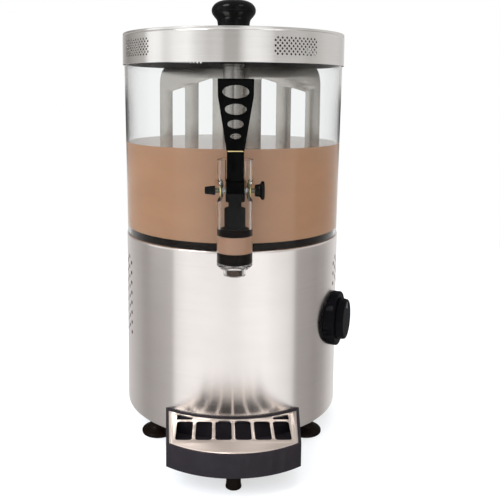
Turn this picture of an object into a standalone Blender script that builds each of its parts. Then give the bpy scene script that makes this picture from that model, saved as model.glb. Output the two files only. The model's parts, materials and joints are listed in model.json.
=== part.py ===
"""Hot chocolate dispenser: a heated steel base with a stirring drive, a clear bowl with a lever tap,
a steel lid and a drip tray that slides off.

Metres, +Z up. The tap faces -Y. The origin is on the machine's axis, at the underside of the
base plate's pressed pad. Azimuths run from the front (-Y) towards +X.
"""

import math

import bmesh
import bpy
from mathutils import Matrix, Vector

# Shared clearance, cutter overrun and facet counts
GAP = 0.0003
OVERRUN = 0.004
MERGE = 0.00001
RING_STEPS = 60
HIDDEN_RING_STEPS = 32
INNER_STEPS = 24
PIECE_STEPS = 16
SMALL_STEPS = 8
ARC_STEPS = 2

# Steel body
BODY_R = 0.132
BODY_TOP = 0.2143
SHELL_T = 0.0012
BODY_FOOT_EDGE_R = 0.0035
BODY_TOP_EDGE_R = 0.0020
BOTTOM_FLANGE_W = 0.0080
TOP_FLANGE_W = 0.0135

# Vent holes in both sides of the body
VENT_R = 0.00265
VENT_SIDES = 6
VENT_ROWS = 8
VENT_COLUMNS = 5
VENT_PITCH_Z = 0.01225
VENT_TOP_Z = 0.1820
VENT_FIRST_AZ = 67.4
VENT_PITCH_AZ = 4.0
VENT_MARGIN = 0.0060

# Base plate with its pressed pad, and the holes for the foot screws
PLATE_T = 0.0015
PAD_R = 0.060
PAD_SLOPE_W = 0.0030

# Rubber feet and their screws
FOOT_H = 0.0210
FOOT_R = 0.0200
FOOT_LIP_H = 0.0030
FOOT_WAIST_R = 0.0095
FOOT_WAIST_H = 0.0110
FOOT_NECK_R = 0.0110
FOOT_INSET = 0.0200
FOOT_AZIMUTHS = (52.0, 128.0, 232.0, 308.0)
SCREW_R = 0.0018
SCREW_HEAD_R = 0.0040
SCREW_HEAD_H = 0.0022
SCREW_DEPTH = 0.0080

# Heating pan, its shaft boss, heater ring and gasket
PAN_T = 0.0012
PAN_CLEAR = 0.0032
PAN_LEDGE_W = 0.0078
PAN_DISH_DEPTH = 0.0060
BOSS_R = 0.0100
BOSS_H = 0.0090
HEATER_W = 0.0460
HEATER_MARGIN = 0.0210
HEATER_H = 0.0085
GASKET_W = 0.0033
GASKET_TOP = 0.2230
SEAL_H = 0.0070

# Stirring drive in the base
SHAFT_R = 0.0040
SHAFT_TOP = 0.2600
BRACKET_TOP = 0.1450
BRACKET_SPAN = 0.1100
BRACKET_FOOT_W = 0.0180
BRACKET_DEPTH = 0.0560
BRACKET_T = 0.0020
BRACKET_BORE_R = 0.0070
GEARBOX_SIZE = (0.0820, 0.0540, 0.0340)
GEARBOX_EDGE_R = 0.0030
MOTOR_R = 0.0300
MOTOR_H = 0.0520
MOTOR_NECK_R = 0.0180
MOTOR_NECK_H = 0.0060
MOTOR_OFFSET = 0.0060

# Thermostat dial on the right side
DIAL_AZ = 68.0
DIAL_Z = 0.1144
BEZEL_R = 0.0325
BEZEL_H = 0.0090
BEZEL_EDGE_R = 0.0020
DIAL_R = 0.0250
DIAL_H = 0.0086
DIAL_EDGE_R = 0.0022
DIAL_POCKET_H = 0.0050
SPINDLE_R = 0.0030
THERMOSTAT_R = 0.0190
THERMOSTAT_H = 0.0260
THERMOSTAT_STAND = 0.0040
THERMOSTAT_COLLAR_R = 0.0070

# Rear rocker switch, cable gland and terminal block
REAR_AZ = 180.0
SWITCH_Z = 0.0700
SWITCH_W = 0.0300
SWITCH_H = 0.0220
SWITCH_FLANGE = 0.0030
SWITCH_WALL = 0.0030
SWITCH_DEPTH = 0.0180
ROCKER_TILT = 9.0
ROCKER_GAP = 0.0008
GLAND_Z = 0.0260
GLAND_BORE_R = 0.0042
GLAND_THREAD_R = 0.0075
GLAND_HEX_R = 0.0120
GLAND_HEX_H = 0.0060
GLAND_CAP_R = 0.0100
GLAND_CAP_H = 0.0130
GLAND_NOSE_R = 0.0070
GLAND_DEPTH = 0.0090
GLAND_NUT_H = 0.0040
TERMINAL_POLES = 5
TERMINAL_PITCH = 0.0090
TERMINAL_D = 0.0170
TERMINAL_H = 0.0150
TERMINAL_RIB = 0.0014
TERMINAL_RIB_H = 0.0030
TERMINAL_AZ = 150.0
TERMINAL_INSET = 0.0440

# Clear bowl
BOWL_WALL = 0.0030
BOWL_STEP = 0.0010
BOWL_FLARE = 0.0032
BOWL_TOP = 0.4510

# Paddle
HUB_R = 0.0127
HUB_WALL = 0.0015
HUB_BOTTOM = 0.2275
HUB_TOP = 0.4192
HUB_BUSH_TOP = 0.2620
HUB_CAP_H = 0.0085
HUB_CAP_LIP = 0.0014
BLADE_T = 0.0015
BLADE_TURN = 20.0
BLADE_CLEAR = 0.0209
BLADE_BOTTOM = 0.2310
BLADE_TOP = 0.4180
BLADE_CORNER_W = 0.0085
BLADE_CORNER_H = 0.0220
BLADE_FOOT_CORNER = 0.0100
SLOT_EDGES = ((0.0325, 0.0521), (0.0708, 0.0890))
SLOT_TOP_INNER = 0.4050
SLOT_TOP_SLOPE = -0.30
SLOT_BOTTOM = 0.2500
SLOT_CORNER = 0.0020
BOLT_R = 0.0020
BOLT_HEAD_R = 0.0035
BOLT_HEAD_H = 0.0020
BOLT_REACH = 0.0030
BOLT_HEIGHTS = (0.2720, 0.3280, 0.3840)

# Tap barrel
TAP_REACH = 0.0280
BARREL_R = 0.01875
BARREL_BORE_R = 0.01575
BARREL_TOP = 0.3190
BARREL_SHOULDER = 0.2078
BARREL_CHAMFER = 0.0035
NOZZLE_R = 0.01175
NOZZLE_BORE_R = 0.0085
NOZZLE_BOTTOM = 0.1968
SEAT_BOTTOM = 0.2068
SEAT_RISE = 0.0030
NECK_Z = 0.2300
NECK_R = 0.0085
NECK_BORE_R = 0.0062
NECK_FLANGE_R = 0.0125
NECK_FLANGE_T = 0.0035

# Tap piston with its seal and plug
PLUG_TOP = 0.2215
SEAL_BOTTOM = 0.2393
SEAL_TOP = 0.2466
SEAL_R = 0.0154
PISTON_STEM_R = 0.0050
PISTON_HEAD_R = 0.0062
PISTON_HEAD_H = 0.0015
PISTON_ROD_R = 0.0110
PISTON_ROD_TOP = 0.2680
PISTON_LIFT_DEG = 35.0
TONGUE_HALF_W = 0.0070
TONGUE_FRONT = 0.0054
TONGUE_BACK = 0.0126
TONGUE_OVER_PIN = 0.0036

# Lever, its pivot and the link to the piston
PIVOT_Z = 0.2863
LEVER_HUB_R = 0.0120
LEVER_HUB_W = 0.0190
POCKET_HALF_W = 0.0074
POCKET_FRONT = 0.0046
POCKET_PULLED_FRONT = 0.0049
LINK_ARM = 0.0090
LINK_PIN_R = 0.0015
LINK_SLOT_H = 0.0018
LINK_SLOT_SLACK = 0.0009
STEM_W = 0.0175
STEM_FRONT = 0.0060
STEM_BACK = 0.0040
STEM_H = 0.0406
STEM_EDGE_R = 0.0010
GRIP_T = 0.0040
GRIP_FRONT = 0.0010
GRIP_FOOT = 0.0360
GRIP_KINK = 0.0970
GRIP_TOP = 0.1150
GRIP_FOOT_W = 0.0168
GRIP_KINK_W = 0.0368
GRIP_TOP_W = 0.0374
GRIP_HOLES = (
    (0.0560, 0.0112, 0.0059),
    (0.0685, 0.0166, 0.0090),
    (0.0837, 0.0224, 0.0113),
    (0.1016, 0.0272, 0.0136),
)
PIVOT_PIN_R = 0.0030
SIDE_FLAT_X = 0.0140
SIDE_FLAT_R = 0.0120
WASHER_R = 0.0100
WASHER_T = 0.0016
PIN_NECK_END = 0.0205
PIN_END_IN_CAP = 0.0060
CAP_L = 0.0110
CAP_BASE_R = 0.0050
CAP_TIP_R = 0.0037
KNOB_BODY_R = 0.0060
KNOB_BODY_L = 0.0052
KNOB_FLANGE_R = 0.0097
KNOB_FLANGE_L = 0.0046

# Lid
LID_CLEAR = 0.0005
LID_T = 0.0010
LID_BAND_H = 0.0377
LID_RISE = 0.0057
LID_BEAD_R = 0.0013
LID_GROOVE = 0.0005
LID_GROOVE_H = 0.0007
LID_HOLE_R = 0.0024
SEAT_RING_W = 0.0042
LID_KNOB_H = 0.0427
LID_KNOB_BASE_R = 0.0192
LID_KNOB_WAIST_R = 0.0203
LID_KNOB_WAIST_H = 0.0190
LID_KNOB_R = 0.0273
LID_KNOB_WIDE_H = 0.0302
LID_KNOB_UNDER_R = 0.0262
LID_KNOB_UNDER_H = 0.0272
LID_KNOB_FLAT_R = 0.0100
KNOB_SCREW_DEPTH = 0.0180

# Drip tray and grille
TRAY_BOTTOM = 0.0015
TRAY_RIM = 0.0265
TRAY_WALL = 0.0028
TRAY_FLOOR = 0.0025
TRAY_LEDGE = 0.0025
TRAY_CORNER_HALF_W = 0.0698
TRAY_CORNER_REACH = 0.0618
TRAY_SIDE_SLOPE = 0.078
TRAY_REACH = 0.0823
TRAY_BOW_R = 0.1150
TRAY_ARC_STEPS = 12
GRILLE_TOP = 0.0258
GRILLE_T = 0.0014
GRILLE_LIP_W = 0.0045
GRILLE_LIP_H = 0.0008
WINDOW_COUNT = 6
WINDOW_W = 0.0177
WINDOW_BAR = 0.0034
WINDOW_BACK_REACH = 0.0070
WINDOW_FRONT_REACH = 0.0485
WINDOW_CORNER_R = 0.0030
REAR_SLOT_IN = 0.0450
REAR_SLOT_OUT = 0.0625
REAR_SLOT_REACH = 0.0025
REAR_SLOT_BORDER = 0.0030
HOOK_X = 0.0450
HOOK_W = 0.0120
HOOK_H = 0.0030
HOOK_Z = 0.0140
HOOK_REACH = 0.0060
HOOK_ROOT = 0.0020
TRAY_FOOT_REACH = 0.0580
TRAY_FOOT_R = 0.0078
TRAY_FOOT_PAD_R = 0.0084
TRAY_FOOT_PAD_H = 0.0035

# Values that follow from the ones above
SHELL_IN_R = BODY_R - SHELL_T
PLATE_Z = SHELL_T + GAP
PLATE_R = BODY_R - BODY_FOOT_EDGE_R
PLATE_TOP = PLATE_Z + PLATE_T
FOOT_TOP = PLATE_Z - GAP
FOOT_CIRCLE_R = BODY_R - FOOT_INSET
TABLE_Z = -FOOT_H
BOWL_BOTTOM_R = BODY_R - BOWL_STEP
BOWL_BOTTOM_IN_R = BOWL_BOTTOM_R - BOWL_WALL
BOWL_TOP_R = BOWL_BOTTOM_R + BOWL_FLARE
PAN_RIM_R = BOWL_BOTTOM_IN_R - PAN_CLEAR
PAN_DISH_R = PAN_RIM_R - PAN_LEDGE_W
HEATER_OUT_R = PAN_DISH_R - HEATER_MARGIN
HEATER_IN_R = HEATER_OUT_R - HEATER_W
GASKET_IN_R = PAN_RIM_R - GASKET_W
TERMINAL_CIRCLE_R = BODY_R - TERMINAL_INSET
BLADE_HALF_W = BOWL_BOTTOM_IN_R - BLADE_CLEAR
PAN_RIM_TOP = BODY_TOP + GAP + PAN_T
PAN_DISH_TOP = PAN_RIM_TOP - PAN_DISH_DEPTH
BOSS_TOP = PAN_DISH_TOP + BOSS_H
BOWL_BOTTOM = BODY_TOP + GAP
BLADE_OFFSET = HUB_R + GAP + BLADE_T / 2
LID_IN_R = BOWL_TOP_R + LID_CLEAR
LID_R = LID_IN_R + LID_T
LID_TOP = BOWL_TOP + LID_RISE
LID_BOTTOM = LID_TOP - LID_BAND_H
TAP_Y = -BODY_R - TAP_REACH
TRAY_FRONT_Y = -BODY_R - TRAY_REACH
TRAY_CORNER_Y = -BODY_R - TRAY_CORNER_REACH
TRAY_FOOT_Y = -BODY_R - TRAY_FOOT_REACH
WINDOW_BACK = -BODY_R - WINDOW_BACK_REACH
WINDOW_FRONT = -BODY_R - WINDOW_FRONT_REACH
REAR_SLOT_FRONT = -BODY_R - REAR_SLOT_REACH
SEAT_SLOPE = SEAT_RISE / (BARREL_BORE_R - NOZZLE_BORE_R)
PULL = math.radians(PISTON_LIFT_DEG)
LINK_REST = PULL / 2
LINK_Y = LINK_ARM * math.cos(LINK_REST)
LINK_Z = -LINK_ARM * math.sin(LINK_REST)
DIAL_STAND = BODY_R + BEZEL_H
SPINDLE_BORE_R = SPINDLE_R + GAP

# Turns that stand a drawn outline upright, facing the front or a side
UPRIGHT = Matrix.Rotation(math.radians(90), 4, "X")
SIDEWAYS = Matrix(((0, 0, 1, 0), (1, 0, 0, 0), (0, 1, 0, 0), (0, 0, 0, 1)))

pieces = bpy.data.collections.new("hot_chocolate_dispenser")
cutters = bpy.data.collections.new("cutters")


def clear_scene():
    for obj in list(bpy.data.objects):
        bpy.data.objects.remove(obj, do_unlink=True)
    bpy.context.scene.collection.children.link(pieces)
    bpy.context.scene.collection.children.link(cutters)


def look(name, colour, roughness, metallic=0.0, alpha=1.0):
    """A Principled material for the pieces."""
    made = bpy.data.materials.new(name)
    made.use_nodes = True
    shader = made.node_tree.nodes["Principled BSDF"]
    shader.inputs["Base Color"].default_value = (*colour, 1.0)
    shader.inputs["Roughness"].default_value = roughness
    shader.inputs["Metallic"].default_value = metallic
    shader.inputs["Alpha"].default_value = alpha
    made.diffuse_color = (*colour, alpha)
    return made


STEEL = look("brushed_steel", (0.62, 0.61, 0.60), 0.32, 1.0)
POLISHED = look("polished_steel", (0.70, 0.69, 0.68), 0.15, 1.0)
CLEAR = look("clear_plastic", (0.93, 0.95, 0.95), 0.05, 0.0, 0.25)
BLACK = look("black_plastic", (0.012, 0.012, 0.013), 0.25)
SATIN = look("satin_black_plastic", (0.030, 0.028, 0.030), 0.45)
RUBBER = look("black_rubber", (0.018, 0.014, 0.012), 0.55)
WHITE = look("white_plastic", (0.80, 0.79, 0.76), 0.40)
ZINC = look("zinc_plate", (0.55, 0.56, 0.58), 0.40, 1.0)


def place(name, mesh, finish, frame=None):
    """Puts a mesh in the scene as a piece, or as a hidden cutter where it has no finish."""
    obj = bpy.data.objects.new(name, mesh)
    if finish is None:
        cutters.objects.link(obj)
        obj.hide_render = True
        obj.display_type = "WIRE"
    else:
        pieces.objects.link(obj)
        mesh.materials.append(finish)
    if len(mesh.polygons):
        mesh.shade_smooth()
        mesh.set_sharp_from_angle(angle=math.radians(35))
    obj.matrix_world = frame or Matrix.Identity(4)
    return obj


def turned(name, profile, finish, steps=RING_STEPS, frame=None, closed=True):
    """A turned shape: (radius, height) points that run down the outer side."""
    mesh = bpy.data.meshes.new(name)
    points = [(radius, 0.0, height) for radius, height in profile]
    edges = [(i, i + 1) for i in range(len(points) - 1)]
    if closed:
        edges.append((len(points) - 1, 0))
    mesh.from_pydata(points, edges, [])
    obj = place(name, mesh, finish, frame)
    screw = obj.modifiers.new("turn", "SCREW")
    screw.steps = screw.render_steps = steps
    screw.use_merge_vertices = True
    screw.merge_threshold = MERGE
    return obj


def block(name, low, high, finish=None, edge_r=0.0, frame=None):
    """A box between two corners, with rounded edges where edge_r is set."""
    low, high = Vector(low), Vector(high)
    shape = bmesh.new()
    bmesh.ops.create_cube(shape, size=1.0)
    size = Matrix.Diagonal((*(high - low), 1.0))
    bmesh.ops.transform(shape, matrix=Matrix.Translation((low + high) / 2) @ size, verts=shape.verts)
    mesh = bpy.data.meshes.new(name)
    shape.to_mesh(mesh)
    shape.free()
    obj = place(name, mesh, finish, frame)
    if edge_r:
        bevel = obj.modifiers.new("edges", "BEVEL")
        bevel.width = edge_r
        bevel.segments = 2
    return obj


def add_rod(shape, radius, start, end, steps, end_radius=None):
    start, end = Vector(start), Vector(end)
    along = end - start
    turn = along.to_track_quat("Z", "Y").to_matrix().to_4x4()
    bmesh.ops.create_cone(
        shape,
        cap_ends=True,
        segments=steps,
        radius1=radius,
        radius2=radius if end_radius is None else end_radius,
        depth=along.length,
        matrix=Matrix.Translation((start + end) / 2) @ turn,
    )


def rods(name, spans, radius, finish=None, steps=PIECE_STEPS, end_radius=None, frame=None):
    """One object of round bars, one for each (start, end) span."""
    shape = bmesh.new()
    for start, end in spans:
        add_rod(shape, radius, start, end, steps, end_radius)
    mesh = bpy.data.meshes.new(name)
    shape.to_mesh(mesh)
    shape.free()
    return place(name, mesh, finish, frame)


def flat(name, outlines, thickness, frame, finish=None):
    """A flat piece, centred on its frame's XY plane: the first outline less the others."""
    curve = bpy.data.curves.new(name, "CURVE")
    curve.dimensions = "2D"
    curve.fill_mode = "BOTH"
    curve.extrude = thickness / 2
    for outline in outlines:
        spline = curve.splines.new("POLY")
        spline.points.add(len(outline) - 1)
        for point, (x, y) in zip(spline.points, outline):
            point.co = (x, y, 0.0, 1.0)
        spline.use_cyclic_u = True
    drawn = bpy.data.objects.new(name + "_outline", curve)
    pieces.objects.link(drawn)
    graph = bpy.context.evaluated_depsgraph_get()
    mesh = bpy.data.meshes.new_from_object(drawn.evaluated_get(graph))
    bpy.data.objects.remove(drawn, do_unlink=True)
    shape = bmesh.new()
    shape.from_mesh(mesh)
    bmesh.ops.remove_doubles(shape, verts=shape.verts, dist=MERGE)
    bmesh.ops.recalc_face_normals(shape, faces=shape.faces)
    shape.to_mesh(mesh)
    shape.free()
    mesh.materials.clear()
    return place(name, mesh, finish, frame)


def boolean(obj, tool, operation):
    change = obj.modifiers.new(tool.name, "BOOLEAN")
    change.operation = operation
    change.object = tool


def cut(obj, *tools):
    for tool in tools:
        boolean(obj, tool, "DIFFERENCE")
    return obj


def fuse(obj, *tools):
    for tool in tools:
        boolean(obj, tool, "UNION")
    return obj


def arc(centre, radius, first, last, steps=ARC_STEPS, flatten=1.0):
    """Points on an arc, in degrees from the first coordinate's axis."""
    found = []
    for step in range(steps + 1):
        angle = math.radians(first + (last - first) * step / steps)
        found.append((centre[0] + radius * math.cos(angle), centre[1] + radius * flatten * math.sin(angle)))
    return found


def ellipse(centre, width, height, steps=PIECE_STEPS):
    points = arc(centre, width / 2, 0, 360, steps, height / width)
    return points[:-1]


def rounded_box(low, high, radius):
    """A rounded rectangle, anticlockwise."""
    corners = (
        ((high[0] - radius, high[1] - radius), 0),
        ((low[0] + radius, high[1] - radius), 90),
        ((low[0] + radius, low[1] + radius), 180),
        ((high[0] - radius, low[1] + radius), 270),
    )
    return [point for centre, first in corners for point in arc(centre, radius, first, first + 90)]


def polar(radius, azimuth, z=0.0):
    angle = math.radians(azimuth)
    return Vector((radius * math.sin(angle), -radius * math.cos(angle), z))


def outward(azimuth, z, radius=0.0):
    """A frame on the axis at height z: local Z points outward, local Y up."""
    out = polar(1.0, azimuth)
    side = Vector((0.0, 0.0, 1.0)).cross(out)
    turn = Matrix((side, (0.0, 0.0, 1.0), out)).transposed().to_4x4()
    return Matrix.Translation(polar(radius, azimuth, z)) @ turn


def standing(origin, azimuth=0.0):
    """A frame whose XY plane stands upright: local X along the plane, local Y up."""
    return Matrix.Translation(origin) @ Matrix.Rotation(math.radians(azimuth), 4, "Z") @ UPRIGHT


def ring(name, in_r, out_r, low, high, finish, steps=RING_STEPS, frame=None):
    profile = [(out_r, high), (out_r, low), (in_r, low), (in_r, high)]
    return turned(name, profile, finish, steps, frame)


def body_circle_cutter(name, radius):
    """A tall cylinder on the machine's axis, which hollows what seats against a round wall."""
    return rods(name, [((0, 0, TABLE_Z), (0, 0, BOWL_TOP))], radius, steps=RING_STEPS * 2)


def vents(first_side):
    """Centres of one side's vent holes: staggered columns, clear of the dial on the right."""
    found = []
    for column in range(VENT_COLUMNS):
        azimuth = VENT_FIRST_AZ + VENT_PITCH_AZ * column
        lift = VENT_PITCH_Z / 2 * (column % 2)
        for row in range(VENT_ROWS):
            z = VENT_TOP_Z - VENT_PITCH_Z * row + lift
            along = math.radians(azimuth - DIAL_AZ) * BODY_R
            clear = math.hypot(along, z - DIAL_Z) > BEZEL_R + VENT_MARGIN
            if first_side < 0 or clear:
                found.append((azimuth * first_side, z))
    return found


def make_base_shell():
    foot_centre = (BODY_R - BODY_FOOT_EDGE_R, BODY_FOOT_EDGE_R)
    profile = arc((BODY_R - BODY_TOP_EDGE_R, BODY_TOP - BODY_TOP_EDGE_R), BODY_TOP_EDGE_R, 90, 0)
    profile += arc(foot_centre, BODY_FOOT_EDGE_R, 0, -90)
    profile += [(BODY_R - BOTTOM_FLANGE_W, 0.0), (BODY_R - BOTTOM_FLANGE_W, SHELL_T)]
    profile += arc(foot_centre, BODY_FOOT_EDGE_R - SHELL_T, -90, 0)
    profile += [(SHELL_IN_R, BODY_TOP - SHELL_T), (BODY_R - TOP_FLANGE_W, BODY_TOP - SHELL_T)]
    profile += [(BODY_R - TOP_FLANGE_W, BODY_TOP)]
    shell = turned("base_shell", profile, STEEL)
    spans = []
    for azimuth, z in vents(-1) + vents(1):
        spans.append((polar(SHELL_IN_R - OVERRUN, azimuth, z), polar(BODY_R + OVERRUN, azimuth, z)))
    holes = rods("vent_holes", spans, VENT_R, steps=VENT_SIDES)
    spindle = rods(
        "spindle_hole",
        [(polar(SHELL_IN_R - OVERRUN, DIAL_AZ, DIAL_Z), polar(BODY_R + OVERRUN, DIAL_AZ, DIAL_Z))],
        THERMOSTAT_COLLAR_R + GAP,
    )
    gland = rods(
        "gland_hole",
        [(polar(SHELL_IN_R - OVERRUN, REAR_AZ, GLAND_Z), polar(BODY_R + OVERRUN, REAR_AZ, GLAND_Z))],
        GLAND_THREAD_R + GAP,
    )
    half_w, half_h = SWITCH_W / 2 + GAP, SWITCH_H / 2 + GAP
    switch = block(
        "switch_cutout",
        (-half_w, -half_h, SHELL_IN_R - OVERRUN),
        (half_w, half_h, BODY_R + OVERRUN),
        frame=outward(REAR_AZ, SWITCH_Z),
    )
    cut(shell, holes, spindle, gland, switch)
    for side in (-1, 1):
        low, high = hook_box(side, GAP)
        cut(shell, block("hook_slot", low, high))
    return shell


def make_base_plate():
    half = PAD_SLOPE_W / 2
    profile = [(0.0, PLATE_T), (PAD_R - half, PLATE_T), (PAD_R + half, PLATE_TOP), (PLATE_R, PLATE_TOP)]
    profile += [(PLATE_R, PLATE_Z), (PAD_R + half, PLATE_Z), (PAD_R - half, 0.0), (0.0, 0.0)]
    plate = turned("base_plate", profile, ZINC, HIDDEN_RING_STEPS, closed=False)
    spans = []
    for azimuth in FOOT_AZIMUTHS:
        centre = polar(FOOT_CIRCLE_R, azimuth)
        spans.append((centre - Vector((0, 0, OVERRUN)), centre + Vector((0, 0, PLATE_TOP + OVERRUN))))
    return cut(plate, rods("foot_screw_holes", spans, SCREW_R + GAP, steps=SMALL_STEPS))


def make_feet():
    """Flared rubber feet, each with a bore for its screw."""
    bore_bottom = PLATE_TOP - SCREW_DEPTH - GAP
    profile = [(SCREW_R + GAP, FOOT_TOP), (FOOT_NECK_R, FOOT_TOP)]
    profile += [(FOOT_WAIST_R, TABLE_Z + FOOT_WAIST_H), (FOOT_R, TABLE_Z + FOOT_LIP_H)]
    profile += [(FOOT_R, TABLE_Z), (0.0, TABLE_Z)]
    profile = [(0.0, bore_bottom), (SCREW_R + GAP, bore_bottom)] + profile
    for number, azimuth in enumerate(FOOT_AZIMUTHS, start=1):
        frame = Matrix.Translation(polar(FOOT_CIRCLE_R, azimuth))
        turned(f"foot_{number}", profile, RUBBER, PIECE_STEPS, frame, closed=False)


def screw(name, head_r, head_h, shank_r, length, finish, frame):
    """A screw that points down its frame's Z axis, with its head's underside at zero."""
    profile = [(0.0, head_h), (head_r, head_h), (head_r, 0.0), (shank_r, 0.0)]
    profile += [(shank_r, -length), (0.0, -length)]
    turned(name, profile, finish, SMALL_STEPS, frame, closed=False)


def make_foot_screws():
    for number, azimuth in enumerate(FOOT_AZIMUTHS, start=1):
        frame = Matrix.Translation(polar(FOOT_CIRCLE_R, azimuth, PLATE_TOP + GAP))
        screw(f"foot_screw_{number}", SCREW_HEAD_R, SCREW_HEAD_H, SCREW_R, SCREW_DEPTH, ZINC, frame)


def make_heating_pan():
    """A dished floor for the bowl, with a boss that the drive shaft passes through."""
    in_r = BOSS_R - PAN_T
    profile = [(PAN_RIM_R, PAN_RIM_TOP), (PAN_RIM_R, PAN_RIM_TOP - PAN_T)]
    profile += [(PAN_DISH_R, PAN_RIM_TOP - PAN_T), (PAN_DISH_R, PAN_DISH_TOP - PAN_T)]
    profile += [(in_r, PAN_DISH_TOP - PAN_T), (in_r, BOSS_TOP), (BOSS_R, BOSS_TOP)]
    profile += [(BOSS_R, PAN_DISH_TOP), (PAN_DISH_R - PAN_T, PAN_DISH_TOP)]
    profile += [(PAN_DISH_R - PAN_T, PAN_RIM_TOP)]
    turned("heating_pan", profile, POLISHED, HIDDEN_RING_STEPS)
    top = PAN_DISH_TOP - PAN_T - GAP
    ring("heater_ring", HEATER_IN_R, HEATER_OUT_R, top - HEATER_H, top, ZINC, INNER_STEPS)
    make_bowl_gasket()
    seal_top = BOSS_TOP - GAP
    ring("shaft_seal", SHAFT_R + GAP, in_r - GAP, seal_top - SEAL_H, seal_top, RUBBER, PIECE_STEPS)


def make_bowl_gasket():
    """A gasket with a rebate: it laps over the pan's rim and seals against the bowl's inner wall."""
    out_r = BOWL_BOTTOM_IN_R - GAP
    rebate_r = PAN_RIM_R + GAP
    profile = [(out_r, GASKET_TOP), (out_r, BODY_TOP + GAP), (rebate_r, BODY_TOP + GAP)]
    profile += [(rebate_r, PAN_RIM_TOP + GAP), (GASKET_IN_R, PAN_RIM_TOP + GAP), (GASKET_IN_R, GASKET_TOP)]
    turned("bowl_gasket", profile, RUBBER, HIDDEN_RING_STEPS)


def make_motor_bracket():
    """A hat-shaped bridge that stands on the base plate and carries the gearbox from below."""
    foot_z = PLATE_TOP + GAP
    half, wide = BRACKET_SPAN / 2, BRACKET_SPAN / 2 + BRACKET_FOOT_W
    outer = [(wide, foot_z), (wide, foot_z + BRACKET_T), (half, foot_z + BRACKET_T), (half, BRACKET_TOP)]
    inner_x = half - BRACKET_T
    inner = [(inner_x, BRACKET_TOP - BRACKET_T), (inner_x, foot_z)]
    left = [(-x, z) for x, z in reversed(outer)]
    under = [(-x, z) for x, z in reversed(inner)] + inner
    frame = standing((0, 0, 0))
    bracket = flat("motor_bracket", [outer + left + under], BRACKET_DEPTH, frame, ZINC)
    low, high = (0, 0, BRACKET_TOP - BRACKET_T - OVERRUN), (0, 0, BRACKET_TOP + OVERRUN)
    return cut(bracket, rods("bracket_bore", [(low, high)], BRACKET_BORE_R))


def make_gear_motor():
    width, depth, height = GEARBOX_SIZE
    top = BRACKET_TOP - BRACKET_T - GAP
    low = (-width / 2, -depth / 2, top - height)
    block("gearbox", low, (width / 2, depth / 2, top), SATIN, GEARBOX_EDGE_R)
    motor_top = top - height - GAP
    shoulder = motor_top - MOTOR_NECK_H
    profile = [(0.0, motor_top), (MOTOR_NECK_R, motor_top), (MOTOR_NECK_R, shoulder), (MOTOR_R, shoulder)]
    profile += [(MOTOR_R, shoulder - MOTOR_H), (0.0, shoulder - MOTOR_H)]
    frame = Matrix.Translation((MOTOR_OFFSET, 0, 0))
    turned("stirring_motor", profile, ZINC, INNER_STEPS, frame, closed=False)


def make_thermostat():
    """The thermostat behind the wall, with a threaded collar that the bezel covers."""
    frame = outward(DIAL_AZ, DIAL_Z)
    face = SHELL_IN_R - THERMOSTAT_STAND
    collar_top = BODY_R + BEZEL_H / 2
    profile = [(SPINDLE_BORE_R, collar_top), (THERMOSTAT_COLLAR_R, collar_top), (THERMOSTAT_COLLAR_R, face)]
    profile += [(THERMOSTAT_R, face), (THERMOSTAT_R, face - THERMOSTAT_H), (SPINDLE_BORE_R, face - THERMOSTAT_H)]
    turned("thermostat", profile, SATIN, PIECE_STEPS, frame)


def make_dial():
    frame = outward(DIAL_AZ, DIAL_Z)
    back = BODY_R - BEZEL_H
    edge = (BEZEL_R - BEZEL_EDGE_R, DIAL_STAND - BEZEL_EDGE_R)
    bore = THERMOSTAT_COLLAR_R + GAP
    profile = [(bore, DIAL_STAND)] + arc(edge, BEZEL_EDGE_R, 90, 0) + [(BEZEL_R, back), (bore, back)]
    bezel = turned("dial_bezel", profile, BLACK, INNER_STEPS, frame)
    cut(bezel, body_circle_cutter("bezel_seat", BODY_R + GAP))
    foot = DIAL_STAND + GAP
    top = foot + DIAL_H
    edge = (DIAL_R - DIAL_EDGE_R, top - DIAL_EDGE_R)
    profile = [(0.0, top)] + arc(edge, DIAL_EDGE_R, 90, 0) + [(DIAL_R, foot), (SPINDLE_BORE_R, foot)]
    profile += [(SPINDLE_BORE_R, foot + DIAL_POCKET_H), (0.0, foot + DIAL_POCKET_H)]
    turned("dial_knob", profile, BLACK, INNER_STEPS, frame, closed=False)
    start = SHELL_IN_R - THERMOSTAT_STAND - THERMOSTAT_H
    end = foot + DIAL_POCKET_H - GAP
    rods("dial_spindle", [((0, 0, start), (0, 0, end))], SPINDLE_R, ZINC, frame=frame)


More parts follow.
